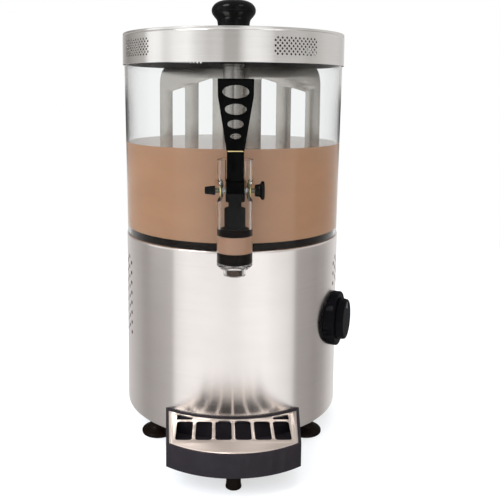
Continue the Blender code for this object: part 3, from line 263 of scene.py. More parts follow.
def brushed(name, dark, light, roughness, anisotropy=0.92, around=True, bump=0.015):
    """Brushed steel: fine lines round the axis, or along X on flat pieces."""
    made, nodes, shader = material(name)
    lines = stretched_noise(nodes, 1.0, (9.0, 9.0, 1900.0) if around else (40.0, 2200.0, 2200.0))
    cloud = stretched_noise(nodes, 11.0, (1.0, 1.0, 2.2), 4.0)
    tone = nodes.math("ADD", nodes.math("MULTIPLY", lines, 0.55), nodes.math("MULTIPLY", cloud, 0.45))
    shader.inputs["Metallic"].default_value = 1.0
    nodes.put(shader.inputs["Base Color"], nodes.ramp(tone, [(0.3, dark), (0.7, light)]))
    nodes.put(shader.inputs["Roughness"], nodes.math("MULTIPLY_ADD", lines, 0.10, roughness - 0.05))
    shader.inputs["Anisotropic"].default_value = anisotropy
    shader.inputs["Anisotropic Rotation"].default_value = 0.25
    tangent = nodes.add("ShaderNodeTangent", direction_type="RADIAL", axis="Z").outputs[0]
    nodes.put(shader.inputs["Tangent"], tangent)
    height = nodes.add("ShaderNodeBump", {"Height": lines, "Strength": bump, "Distance": 0.0002})
    nodes.put(shader.inputs["Normal"], height.outputs[0])
    return made


def plastic(name, colour, sheen, gloss, grain=900.0, bump=0.04, spread=1.25):
    """Moulded plastic or rubber: its shine is a coat, given as roughness and weight."""
    made, nodes, shader = material(name)
    mottle = stretched_noise(nodes, 60.0, (1.0, 1.0, 1.0), 4.0)
    lighter = [min(1.0, value * spread) for value in colour[:3]]
    nodes.put(shader.inputs["Base Color"], nodes.ramp(mottle, [(0.3, colour), (0.75, lighter)]))
    fine = stretched_noise(nodes, grain, (1.0, 1.0, 1.0), 2.0)
    shader.inputs["Roughness"].default_value = 0.5
    shader.inputs["Specular IOR Level"].default_value = 0.0
    shader.inputs["Coat Weight"].default_value = gloss
    shader.inputs["Coat Roughness"].default_value = sheen
    height = nodes.add("ShaderNodeBump", {"Height": fine, "Strength": bump, "Distance": 0.0002})
    nodes.put(shader.inputs["Normal"], height.outputs[0])
    nodes.put(shader.inputs["Coat Normal"], height.outputs[0])
    return made


def clear(name, tint, roughness=0.01, ior=1.49):
    made, nodes, shader = material(name)
    shader.inputs["Base Color"].default_value = tint
    haze = stretched_noise(nodes, 30.0, (1.0, 1.0, 0.3), 3.0)
    nodes.put(shader.inputs["Roughness"], nodes.math("MULTIPLY_ADD", haze, 0.02, roughness))
    shader.inputs["Specular Tint"].default_value = (0.15, 0.15, 0.15, 1.0)
    shader.inputs["Transmission Weight"].default_value = 1.0
    shader.inputs["IOR"].default_value = ior
    return made


def chocolate(name, colour):
    made, nodes, shader = material(name)
    swirl = stretched_noise(nodes, 9.0, (1.0, 1.0, 3.0), 3.0)
    darker = [value * 0.9 for value in colour[:3]]
    nodes.put(shader.inputs["Base Color"], nodes.ramp(swirl, [(0.3, darker), (0.7, colour)]))
    shader.inputs["Roughness"].default_value = 0.03
    shader.inputs["Subsurface Weight"].default_value = 0.15
    shader.inputs["Subsurface Scale"].default_value = 0.004
    return made


STEEL = brushed("brushed_steel", srgb(233, 227, 224), srgb(244, 238, 235), 0.20)
LID_STEEL = brushed("lid_steel", srgb(230, 228, 225), srgb(242, 240, 237), 0.18)
# The blade's steel is coloured darker than the body's: painted shade for its place in the bowl under the lid.
BLADE_STEEL_SHADED = brushed("blade_steel", srgb(188, 184, 178), srgb(208, 204, 198), 0.24, 0.0, False)
POLISHED = brushed("polished_steel", srgb(215, 215, 215), srgb(232, 232, 232), 0.12, 0.0)
ZINC = brushed("zinc_plate", srgb(160, 163, 166), srgb(190, 193, 196), 0.42, 0.0)
BLACK = plastic("black_plastic", srgb(5, 5, 5), 0.16, 0.30)
LEVER_BLACK = plastic("lever_black", srgb(3, 3, 3), 0.18, 0.10)
SATIN = plastic("satin_black_plastic", srgb(36, 32, 35), 0.34, 0.15, bump=0.12)
RUBBER = plastic("black_rubber", srgb(15, 8, 5), 0.30, 0.12, bump=0.08)
DIAL_BLACK = plastic("dial_black", srgb(8, 7, 9), 0.16, 0.09)
KNOB_BLACK = plastic("knob_black", srgb(4, 4, 4), 0.12, 0.28)
WASHER = plastic("washer_plastic", srgb(168, 152, 104), 0.2, 0.6)
# Pale gold for the strip on the lever's ledge: a painted highlight.
LEDGE_HIGHLIGHT = plastic("lever_ledge_highlight", srgb(178, 158, 108), 0.2, 0.5)
GRILLE_STEEL = brushed("grille_steel", srgb(240, 229, 220), srgb(250, 240, 232), 0.42, 0.0, False)
HUB_STEEL = brushed("hub_steel", srgb(168, 165, 160), srgb(190, 187, 182), 0.26, 0.5)
# Dark grey copy of the lid's steel for its inward faces: painted shade, so the inside and the holes read dark.
LID_INSIDE_SHADE = brushed("lid_inside_painted_shade", srgb(92, 90, 88), srgb(110, 108, 105), 0.45, 0.0)
WHITE = plastic("white_plastic", srgb(226, 224, 219), 0.3, 0.4)
CLEAR = clear("clear_plastic", srgb(249, 250, 250))
CHOCOLATE = chocolate("hot_chocolate", srgb(206, 158, 121))
TAP_CHOCOLATE = chocolate("tap_chocolate", srgb(192, 148, 118))
FILM = plastic("chocolate_film", srgb(64, 42, 29), 0.1, 0.8)

FINISHES = {
    "brushed_steel": STEEL,
    "lid_steel": LID_STEEL,
    "blade_steel": BLADE_STEEL_SHADED,
    "polished_steel": POLISHED,
    "zinc_plate": ZINC,
    "black_plastic": BLACK,
    "satin_black_plastic": SATIN,
    "black_rubber": RUBBER,
    "white_plastic": WHITE,
    "clear_plastic": CLEAR,
}


def finish_nodes():
    """Every CAD node takes the scene's material for its slot."""
    for part in frame["record"]["subparts"]:
        mesh = NODES[part["node"]].data
        mesh.materials.clear()
        mesh.materials.append(FINISHES[part["material_slot"]])


def piece(name, mesh, finish, body, replaced=(), smooth=32):
    """Puts a finished mesh in the scene, riding on a body."""
    obj = bpy.data.objects.new(name, mesh)
    bpy.context.scene.collection.objects.link(obj)
    mesh.materials.clear()
    mesh.materials.append(finish)
    mesh.shade_smooth()
    mesh.set_sharp_from_angle(angle=math.radians(smooth))
    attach(obj, body)
    if replaced:
        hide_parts(*replaced)
    return obj


def rounded(profile, radius, closed=True, steps=3):
    """A profile with its corners rounded, and a guard point on each side of every curve."""
    points = [Vector(point[:2]) for point in profile]
    count = len(points)
    found = []
    for i, at in enumerate(points):
        own = profile[i][2] if len(profile[i]) > 2 else radius
        if own == 0 or (not closed and i in (0, count - 1)):
            found.append(tuple(at))
            continue
        into, out = at - points[i - 1], points[(i + 1) % count] - at
        turn = into.angle(out)
        trim = min(own * math.tan(turn / 2), into.length * 0.4, out.length * 0.4)
        guard = trim / 4
        into.normalize()
        out.normalize()
        start, end = at - into * trim, at + out * trim
        found.append(tuple(start - into * guard))
        for step in range(steps + 1):
            t = step / steps
            found.append(tuple(start.lerp(at, t).lerp(at.lerp(end, t), t)))
        found.append(tuple(end + out * guard))
    return found


def flowing(points, steps=5):
    """A smooth line through points (Catmull-Rom)."""
    points = [Vector(point) for point in points]
    padded = [2 * points[0] - points[1], *points, 2 * points[-1] - points[-2]]
    found = []
    for a, b, c, d in zip(padded, padded[1:], padded[2:], padded[3:]):
        for step in range(steps):
            t = step / steps
            found.append(tuple(0.5 * (2 * b + (c - a) * t + (2 * a - 5 * b + 4 * c - d) * t**2
                                      + (3 * b - a - 3 * c + d) * t**3)))
    return found + [tuple(points[-1])]


def loops_mesh(name, loops, cap_ends=False, closed=True):
    """A mesh skinned over loops of points that run the same way; closed joins the last to the first."""
    shape = bmesh.new()
    rows = []
    for loop in loops:
        if len(loop) == 1:
            rows.append([shape.verts.new(loop[0])] * len(loops[1] if loop is loops[0] else loops[-2]))
        else:
            rows.append([shape.verts.new(point) for point in loop])
    pairs = list(zip(rows, rows[1:]))
    if closed:
        pairs.append((rows[-1], rows[0]))
    for upper, lower in pairs:
        count = len(upper)
        for step in range(count):
            following = (step + 1) % count
            corners = []
            for vertex in (upper[step], lower[step], lower[following], upper[following]):
                if vertex not in corners:
                    corners.append(vertex)
            if len(corners) > 2:
                shape.faces.new(corners)
    if cap_ends:
        shape.faces.new(rows[0])
        shape.faces.new(rows[-1])
    bmesh.ops.recalc_face_normals(shape, faces=shape.faces)
    mesh = bpy.data.meshes.new(name)
    shape.to_mesh(mesh)
    shape.free()
    return mesh


def turned_mesh(name, profile, steps=PIECE_STEPS, closed=True, frame=None):
    """A turned mesh from (radius, height) points."""
    loops = []
    for radius, height in profile:
        if radius < 1e-7:
            loops.append([(0.0, 0.0, height)])
            continue
        angles = [2 * math.pi * step / steps for step in range(steps)]
        loops.append([(radius * math.cos(a), radius * math.sin(a), height) for a in angles])
    mesh = loops_mesh(name, loops, closed=closed)
    if frame:
        mesh.transform(frame)
    return mesh


def polar(radius, azimuth, z=0.0):
    angle = math.radians(azimuth)
    return Vector((radius * math.sin(angle), -radius * math.cos(angle), z))


def outward(azimuth, z):
    """A frame on the axis at height z: local Z points outward, local Y up."""
    out = polar(1.0, azimuth)
    side = Vector((0.0, 0.0, 1.0)).cross(out)
    turn = Matrix((side, (0.0, 0.0, 1.0), out)).transposed().to_4x4()
    return Matrix.Translation((0, 0, z)) @ turn


def add_rod(shape, radius, start, end, sides):
    start, end = Vector(start), Vector(end)
    along = end - start
    turn = along.to_track_quat("Z", "Y").to_matrix().to_4x4()
    bmesh.ops.create_cone(
        shape, cap_ends=True, segments=sides, radius1=radius, radius2=radius, depth=along.length,
        matrix=Matrix.Translation((start + end) / 2) @ turn,
    )


def rods_mesh(name, spans, radius, sides):
    shape = bmesh.new()
    for start, end in spans:
        add_rod(shape, radius, start, end, sides)
    mesh = bpy.data.meshes.new(name)
    shape.to_mesh(mesh)
    shape.free()
    return mesh


def box_mesh(name, low, high, frame=None):
    shape = bmesh.new()
    low, high = Vector(low), Vector(high)
    size = Matrix.Diagonal((*(high - low), 1.0))
    bmesh.ops.create_cube(shape, size=1.0, matrix=Matrix.Translation((low + high) / 2) @ size)
    mesh = bpy.data.meshes.new(name)
    shape.to_mesh(mesh)
    shape.free()
    if frame:
        mesh.transform(frame)
    return mesh


def evaluated(mesh, modifiers):
    """The mesh after modifiers, each a (kind, settings) pair."""
    obj = bpy.data.objects.new("work", mesh)
    bpy.context.scene.collection.objects.link(obj)
    for kind, settings in modifiers:
        modifier = obj.modifiers.new(kind, kind)
        for key, value in settings.items():
            setattr(modifier, key, value)
    graph = bpy.context.evaluated_depsgraph_get()
    result = bpy.data.meshes.new_from_object(obj.evaluated_get(graph))
    bpy.data.objects.remove(obj)
    return result


def combined(mesh, *tools):
    """The mesh less, or joined with, other meshes: each tool is (operation, mesh)."""
    for operation, tool in tools:
        helper = bpy.data.objects.new("tool", tool)
        bpy.context.scene.collection.objects.link(helper)
        mesh = evaluated(mesh, [("BOOLEAN", {"operation": operation, "object": helper})])
        bpy.data.objects.remove(helper)
    return mesh


def bevelled(mesh, width, segments=2, angle=30):
    settings = {"width": width, "segments": segments, "limit_method": "ANGLE", "harden_normals": True}
    settings["angle_limit"] = math.radians(angle)
    return evaluated(mesh, [("BEVEL", settings)])


def plate_mesh(name, outlines, thickness, edge, frame):
    """A flat plate with rounded edges: the first outline less the others, centred on the frame's XY plane."""
    curve = bpy.data.curves.new(name, "CURVE")
    curve.dimensions = "2D"
    curve.fill_mode = "BOTH"
    curve.extrude = thickness / 2 - edge
    curve.bevel_depth = edge
    curve.bevel_resolution = 1
    curve.offset = -edge
    for outline in outlines:
        spline = curve.splines.new("POLY")
        spline.points.add(len(outline) - 1)
        for point, (x, y) in zip(spline.points, outline):
            point.co = (x, y, 0.0, 1.0)
        spline.use_cyclic_u = True
    drawn = bpy.data.objects.new(name, curve)
    bpy.context.scene.collection.objects.link(drawn)
    graph = bpy.context.evaluated_depsgraph_get()
    mesh = bpy.data.meshes.new_from_object(drawn.evaluated_get(graph))
    bpy.data.objects.remove(drawn)
    shape = bmesh.new()
    shape.from_mesh(mesh)
    bmesh.ops.remove_doubles(shape, verts=shape.verts, dist=1e-6)
    bmesh.ops.recalc_face_normals(shape, faces=shape.faces)
    shape.to_mesh(mesh)
    shape.free()
    mesh.transform(frame)
    return mesh


def arc(centre, radius, first, last, steps, flatten=1.0):
    found = []
    for step in range(steps + 1):
        angle = math.radians(first + (last - first) * step / steps)
        found.append((centre[0] + radius * math.cos(angle), centre[1] + radius * flatten * math.sin(angle)))
    return found


def make_shell():
    """The steel body: rolled edges, vent holes in both sides, and cut-outs for switch, gland and hooks."""
    inner = BODY_R - SHEET
    profile = [(BODY_R, BODY_TOP, 0.0020), (BODY_R, 0.0, 0.0035), (BODY_R - ROLL, 0.0)]
    profile += [(BODY_R - ROLL, SHEET), (inner, SHEET, 0.0023), (inner, BODY_TOP - SHEET)]
    profile += [(0.1185, BODY_TOP - SHEET)]
    profile += [(0.1185, BODY_TOP)]
    mesh = turned_mesh("body_shell", rounded(profile, 0.0003), STEPS)
    spans = []
    for side in (-1, 1):
        for column in range(VENT_COLUMNS):
            for row in range(VENT_ROWS):
                azimuth = VENT_FIRST_AZ + VENT_PITCH_AZ * column
                z = VENT_TOP - VENT_PITCH * row + VENT_PITCH / 2 * (column % 2)
                away = math.hypot(math.radians(azimuth - DIAL_AZ) * BODY_R, z - DIAL_Z)
                if side < 0 or away > DIAL_CLEAR:
                    start = polar(inner - OVERCUT, side * azimuth, z)
                    spans.append((start, polar(BODY_R + OVERCUT, side * azimuth, z)))
    cuts = [("DIFFERENCE", rods_mesh("vent_tool", spans, VENT_R, 12))]
    switch = box_mesh("switch_tool", (-0.0153, -0.0113, inner - OVERCUT), (0.0153, 0.0113, BODY_R + OVERCUT),
                      outward(180, 0.070))
    through = [(polar(inner - OVERCUT, 180, 0.026), polar(BODY_R + OVERCUT, 180, 0.026))]
    gland = rods_mesh("gland_tool", through, 0.0078, 32)
    through = [(polar(inner - OVERCUT, DIAL_AZ, DIAL_Z), polar(BODY_R + OVERCUT, DIAL_AZ, DIAL_Z))]
    spindle = rods_mesh("spindle_tool", through, 0.0073, 32)
    cuts += [("DIFFERENCE", tool) for tool in (switch, gland, spindle)]
    for side in (-1, 1):
        low = (side * 0.045 - 0.0063, -0.131, 0.0122)
        hook = box_mesh("hook_tool", low, (side * 0.045 + 0.0063, -0.110, 0.0158))
        cuts.append(("DIFFERENCE", hook))
    piece("body_shell", combined(mesh, *cuts), STEEL, "base", ("base_shell",))


def make_feet():
    """Flared rubber feet: a short neck over a wide lip."""
    line = [(0.0110, 0.0012), (0.0103, -0.0040), (0.0100, -0.0085), (0.0118, -0.0120), (0.0160, -0.0152),
            (0.0192, -0.0172), (0.0199, -0.0186), (0.0197, -0.0204), (0.0190, -0.0210)]
    profile = [(0.0, 0.0012)] + flowing(line) + [(0.0, TABLE_Z)]
    for number, azimuth in enumerate(FOOT_AZIMUTHS, start=1):
        mesh = turned_mesh(f"rubber_foot_{number}", profile, PIECE_STEPS, False,
                           Matrix.Translation(polar(FOOT_CIRCLE_R, azimuth)))
        piece(mesh.name, mesh, RUBBER, "base", (f"foot_{number}",))


def make_dial():
    """The dial's bezel, hollowed to sit on the round body, and its knob."""
    frame = outward(DIAL_AZ, DIAL_Z)
    front = BODY_R + 0.009
    profile = [(0.0073, front), (0.0325, front, 0.0022), (0.0325, BODY_R - 0.009), (0.0073, BODY_R - 0.009)]
    mesh = turned_mesh("dial_ring", rounded(profile, 0.0004), PIECE_STEPS * 2, True, frame)
    seat = rods_mesh("seat_tool", [((0, 0, -0.05), (0, 0, 0.4))], BODY_R + GAP, STEPS * 2)
    mesh = combined(mesh, ("DIFFERENCE", seat))
    piece("dial_ring", mesh, DIAL_BLACK, "base", ("dial_bezel",))
    foot = front + GAP
    top = foot + 0.0086
    profile = [(0.0, top), (0.0228, top, 0.0014), (0.0238, top - 0.0012, 0.0006), (0.0250, foot, 0.0004)]
    profile += [(0.0033, foot, 0.0), (0.0033, foot + 0.005, 0.0), (0.0, foot + 0.005)]
    mesh = turned_mesh("dial_grip", rounded(profile, 0.0006, False), PIECE_STEPS * 2, False, frame)
    pointer = box_mesh("pointer_tool", (-0.0007, 0.0130, top - 0.0005), (0.0007, 0.0215, top + 0.004), frame)
    mesh = combined(mesh, ("DIFFERENCE", pointer))
    piece("dial_grip", mesh, DIAL_BLACK, "dial", ("dial_knob",))
    inlay = box_mesh("dial_pointer", (-0.00062, 0.0131, top - 0.0005), (0.00062, 0.0214, top - 0.0001), frame)
    piece("dial_pointer", bevelled(inlay, 0.0001), WHITE, "dial")


def make_bowl():
    """The clear bowl, the hot chocolate in it, and the black gasket at its foot."""
    profile = [(BOWL_TOP_R, BOWL_TOP), (BOWL_BOTTOM_R, BOWL_BOTTOM), (BOWL_BOTTOM_R - BOWL_WALL, BOWL_BOTTOM)]
    profile += [(BOWL_TOP_R - BOWL_WALL, BOWL_TOP)]
    mesh = turned_mesh("clear_bowl", rounded(profile, 0.0008), STEPS * 2)
    neck = rods_mesh("neck_tool", [((0, -0.14, NECK_Z), (0, -0.12, NECK_Z))], 0.0088, 32)
    piece("clear_bowl", combined(mesh, ("DIFFERENCE", neck)), CLEAR, "bowl_group", ("bowl",))
    draft = (BOWL_TOP_R - BOWL_BOTTOM_R) / (BOWL_TOP - BOWL_BOTTOM)
    in_r = BOWL_BOTTOM_R - BOWL_WALL + WET
    low = 0.2232
    profile = [(0.0, LIQUID_TOP), (in_r + draft * (LIQUID_TOP - BOWL_BOTTOM), LIQUID_TOP, 0.0)]
    profile += [(in_r + draft * (low - BOWL_BOTTOM), low, 0.0004), (0.0, low)]
    mesh = turned_mesh("bowl_chocolate", rounded(profile, 0.0004, False), STEPS * 2, False)
    piece("bowl_chocolate", mesh, CHOCOLATE, "bowl_group")
    seat = BOWL_BOTTOM_R - BOWL_WALL - 0.00005
    profile = [(seat, 0.2230), (seat, BOWL_BOTTOM), (0.1251, BOWL_BOTTOM), (0.1251, 0.2161)]
    profile += [(0.1215, 0.2161), (0.1215, 0.2230)]
    mesh = turned_mesh("foot_gasket", rounded(profile, 0.0004), STEPS * 2)
    piece("foot_gasket", mesh, RUBBER, "base", ("bowl_gasket",))


def make_paddle():
    """The stirring blade with its tall slots, and the hub that carries it."""
    foot_x, foot_z = BLADE_HALF_W - BLADE_FOOT_R, BLADE_BOTTOM + BLADE_FOOT_R
    corner_x, corner_z = BLADE_HALF_W - BLADE_CORNER_R, BLADE_TOP - 0.022
    outline = arc((-foot_x, foot_z), BLADE_FOOT_R, 180, 270, 8)
    outline += arc((foot_x, foot_z), BLADE_FOOT_R, 270, 360, 8)
    outline += arc((corner_x, corner_z), BLADE_CORNER_R, 0, 90, 16, BLADE_CORNER_STRETCH)
    outline += arc((-corner_x, corner_z), BLADE_CORNER_R, 90, 180, 16, BLADE_CORNER_STRETCH)
    outlines = [outline]
    for near, far in SLOTS:
        top_near, top_far = (SLOT_TOP + SLOT_SLOPE * (x - SLOTS[0][0]) for x in (near, far))
        slot = [(near, 0.250), (far, 0.250), (far, top_far), (near, top_near)]
        slot = rounded(slot, 0.0022, True, 4)
        outlines += [slot, [(-x, z) for x, z in slot]]
    turn = Matrix.Rotation(math.radians(-BLADE_TURN), 4, "Z")
    upright = Matrix.Rotation(math.radians(90), 4, "X")
    frame = turn @ Matrix.Translation((0, 0.01375, 0)) @ upright
    mesh = plate_mesh("stirring_blade", outlines, BLADE_T, 0.0003, frame)
    piece("stirring_blade", mesh, BLADE_STEEL_SHADED, "agitator", ("paddle_blade",))
    profile = [(0.0, HUB_TOP), (HUB_R, HUB_TOP), (HUB_R, HUB_BOTTOM), (HUB_R - HUB_WALL, HUB_BOTTOM)]
    profile += [(HUB_R - HUB_WALL, HUB_TOP - HUB_WALL), (0.0, HUB_TOP - HUB_WALL)]
    mesh = turned_mesh("hub_tube", rounded(profile, 0.0005, False), PIECE_STEPS, False)
    piece("hub_tube", mesh, HUB_STEEL, "agitator", ("paddle_hub",))
    line = [(0.0, 0.4280), (0.0060, 0.4274), (0.0110, 0.4253), (0.0138, 0.4221), (0.0141, 0.4197)]
    mesh = turned_mesh("hub_dome", flowing(line) + [(0.0139, 0.4195), (0.0, 0.4195)], PIECE_STEPS, False)
    piece("hub_dome", mesh, HUB_STEEL, "agitator", ("hub_cap",))


def make_barrel():
    """The clear tap barrel: nozzle, neck into the bowl, slot for the lever and flats for the washers."""
    profile = [(BARREL_R, BARREL_TOP, 0.0006), (BARREL_R, 0.2078, 0.0006), (0.01525, 0.2043, 0.0006)]
    profile += [(NOZZLE_R, 0.2043, 0.0004), (NOZZLE_R, NOZZLE_BOTTOM, 0.0006)]
    profile += [(NOZZLE_IN_R, NOZZLE_BOTTOM, 0.0006), (NOZZLE_IN_R, 0.2068, 0.0003)]
    profile += [(BARREL_IN_R, 0.2098, 0.0003), (BARREL_IN_R, BARREL_TOP, 0.0006)]
    place = Matrix.Translation((0, TAP_Y, 0))
    mesh = turned_mesh("clear_barrel", rounded(profile, 0.0005), 96, True, place)
    wall = 0.1315
    neck = [((0, TAP_Y + 0.0172, NECK_Z), (0, -0.1277, NECK_Z))]
    flange = rods_mesh("flange_tool", [((0, -wall - 0.0035, NECK_Z), (0, -wall + 0.004, NECK_Z))], 0.0125, 48)
    seat = rods_mesh("flange_seat", [((0, 0, 0), (0, 0, 0.4))], wall, STEPS * 2)
    flange = combined(flange, ("DIFFERENCE", seat))
    bore = rods_mesh("bore_tool", [((0, TAP_Y, NECK_Z), (0, -0.120, NECK_Z))], 0.0062, 32)
    slot = box_mesh("slot_tool", (-0.0098, TAP_Y - 0.03, 0.2853), (0.0098, TAP_Y, 0.33))
    sides = [((s * 0.014, TAP_Y, PIVOT_Z), (s * 0.023, TAP_Y, PIVOT_Z)) for s in (-1, 1)]
    flats = rods_mesh("flat_tool", sides, 0.012, 48)
    pin = rods_mesh("pin_tool", [((-0.023, TAP_Y, PIVOT_Z), (0.023, TAP_Y, PIVOT_Z))], 0.0033, 24)
    mesh = combined(mesh, ("UNION", rods_mesh("neck_tool", neck, 0.0085, 48)), ("UNION", flange),
                    ("DIFFERENCE", bore), ("DIFFERENCE", slot), ("DIFFERENCE", flats), ("DIFFERENCE", pin))
    piece("clear_barrel", mesh, CLEAR, "bowl_group", ("tap_barrel",))
    profile = [(0.00845, 0.1972), (0.00845, 0.2066), (0.0080, 0.2066), (0.0080, 0.1972)]
    piece("outlet_film", turned_mesh("outlet_film", profile, 64, True, place), FILM, "bowl_group")


def make_piston():
    """The piston's rod, its seal and plug, and the hot chocolate held between them."""
    place = Matrix.Translation((0, TAP_Y, 0))
    profile = [(0.0, 0.2680), (0.0110, 0.2680), (0.0110, 0.2469), (0.0050, 0.2469), (0.0050, 0.2068)]
    profile += [(0.0062, 0.2068), (0.0062, 0.2053), (0.0, 0.2053)]
    mesh = turned_mesh("piston_rod", rounded(profile, 0.0004, False), PIECE_STEPS, False, place)
    tongue = box_mesh("tongue_tool", (-0.007, TAP_Y + 0.0054, 0.2573), (0.007, TAP_Y + 0.0126, 0.28719))
    slot_z = PIVOT_Z - 0.009 * math.sin(math.radians(17.5))
    pin_y = 0.009 * math.cos(math.radians(17.5))
    slot = box_mesh("link_tool", (-0.01, TAP_Y + pin_y - 0.00195, slot_z - 0.0018),
                    (0.01, TAP_Y + 0.009 + 0.00195, slot_z + 0.0018))
    mesh = combined(mesh, ("UNION", tongue), ("DIFFERENCE", slot))
    piece("piston_rod", mesh, LEVER_BLACK, "piston", ("tap_piston",))
    wet = BARREL_IN_R + WET / 2
    profile = [(wet, 0.2466), (wet, 0.2393), (0.0053, 0.2393), (0.0053, 0.2466)]
    mesh = turned_mesh("upper_seal", rounded(profile, 0.0005), 96, True, place)
    piece("upper_seal", mesh, RUBBER, "piston", ("piston_seal",))
    profile = [(wet, 0.2215), (wet, 0.2102), (0.0082, 0.2071), (0.0053, 0.2071), (0.0053, 0.2215)]
    mesh = turned_mesh("lower_plug", rounded(profile, 0.0004), 96, True, place)
    piece("lower_plug", mesh, RUBBER, "piston", ("outlet_plug",))
    profile = [(wet, 0.2392), (wet, 0.2216), (0.0051, 0.2216), (0.0051, 0.2392)]
    mesh = turned_mesh("tap_chocolate", rounded(profile, 0.0002), 96, True, place)
    piece("tap_chocolate", mesh, TAP_CHOCOLATE, "piston")


def make_lever():
    """The lever: a pierced grip over a stem, on a hub with a pocket for the piston's tongue."""
    frame = Matrix.Translation((0, TAP_Y, PIVOT_Z))
    upright = Matrix.Rotation(math.radians(90), 4, "X")
    outline = [(-0.0084, 0.0360), (0.0084, 0.0360), (0.0184, 0.0970), (0.0187, 0.1150), (-0.0187, 0.1150)]
    outline = rounded(outline + [(-0.0184, 0.0970)], 0.0012, True, 3)
    holes = []
    for z, width, height in GRIP_HOLES:
        holes.append(arc((0.0, z), width / 2, 0, 360, 48, height / width)[:-1])
    middle = Matrix.Translation((0, 0.001, 0))
    mesh = plate_mesh("lever_grip", [outline] + holes, 0.004, 0.0007, frame @ middle @ upright)
    piece("lever_grip", mesh, LEVER_BLACK, "lever", ("tap_lever",))
    stem = box_mesh("lever_stem", (-0.00875, -0.006, 0.004), (0.00875, 0.004, 0.0406), frame)
    stem = bevelled(stem, 0.0008, 3)
    hub = turned_mesh("lever_hub", rounded([(0.0, 0.0095), (0.012, 0.0095), (0.012, -0.0095), (0.0, -0.0095)],
                                           0.0006, False), PIECE_STEPS, False,
                      frame @ Matrix.Rotation(math.radians(90), 4, "Y"))
    pocket = box_mesh("pocket_tool", (-0.0074, 0.0046, -0.02), (0.0074, 0.02, 0.02), frame)
    low = box_mesh("low_tool", (-0.0074, 0.0049, -0.02), (0.0074, 0.03, 0.02),
                   frame @ Matrix.Rotation(math.radians(-35), 4, "X"))
    hub = combined(hub, ("DIFFERENCE", pocket), ("DIFFERENCE", low))
    piece("lever_hub", hub, LEVER_BLACK, "lever")
    piece("lever_stem", stem, LEVER_BLACK, "lever")
    make_pivot(frame)


def make_pivot(frame):
    """What sits on the pin's ends: washers, a tapered cap on the left and a knob on the right."""
    spin = Matrix.Rotation(math.radians(90), 4, "Y")
    left, right = frame @ spin.inverted(), frame @ spin
    for side, place in (("left", left), ("right", right)):
        profile = [(0.0100, 0.0159), (0.0100, 0.0143), (0.0033, 0.0143), (0.0033, 0.0159)]
        mesh = turned_mesh(f"washer_{side}", rounded(profile, 0.0005), PIECE_STEPS, True, place)
        piece(mesh.name, mesh, WASHER, "bowl_group", (f"pivot_washer_{side}",))
    profile = [(0.0, 0.0315), (0.0037, 0.0315, 0.0010), (0.0050, CAP_FOOT), (0.0033, CAP_FOOT, 0)]
    profile.append((0.0033, 0.0268, 0))
    mesh = turned_mesh("cone_cap", rounded(profile + [(0.0, 0.0268)], 0.0004, False), 40, False, left)
    piece("cone_cap", mesh, BLACK, "bowl_group", ("pin_cap",))
    profile = [(0.0, 0.0303), (0.0097, 0.0303, 0.0012), (0.0097, 0.0273, 0.0010), (0.0066, 0.0256, 0.0020)]
    profile += [(0.0060, CAP_FOOT), (0.0033, CAP_FOOT, 0), (0.0033, 0.0268, 0), (0.0, 0.0268)]
    mesh = turned_mesh("clamp_knob", rounded(profile, 0.0004, False), 48, False, right)
    piece("clamp_knob", mesh, BLACK, "bowl_group", ("pin_knob",))
    line = [(0.0, PIN_END)]
    for ridge in range(12):
        line += [(0.0026, PIN_END - 0.0009 * ridge), (PIN_R, PIN_END - 0.00045 - 0.0009 * ridge)]
    line += [(radius, -height) for radius, height in reversed(line)]
    mesh = turned_mesh("pivot_rod", line, 32, False, right)
    piece("pivot_rod", mesh, HUB_STEEL, "bowl_group", ("pivot_pin",))
    # A thin pale strip across the stem's top ledge: a painted highlight for the light line there.
    shim = box_mesh("lever_ledge_highlight", (-0.0082, -0.0057, 0.0405), (0.0082, -0.0012, 0.0413), frame)
    piece("lever_ledge_highlight", bevelled(shim, 0.0003), LEDGE_HIGHLIGHT, "lever")


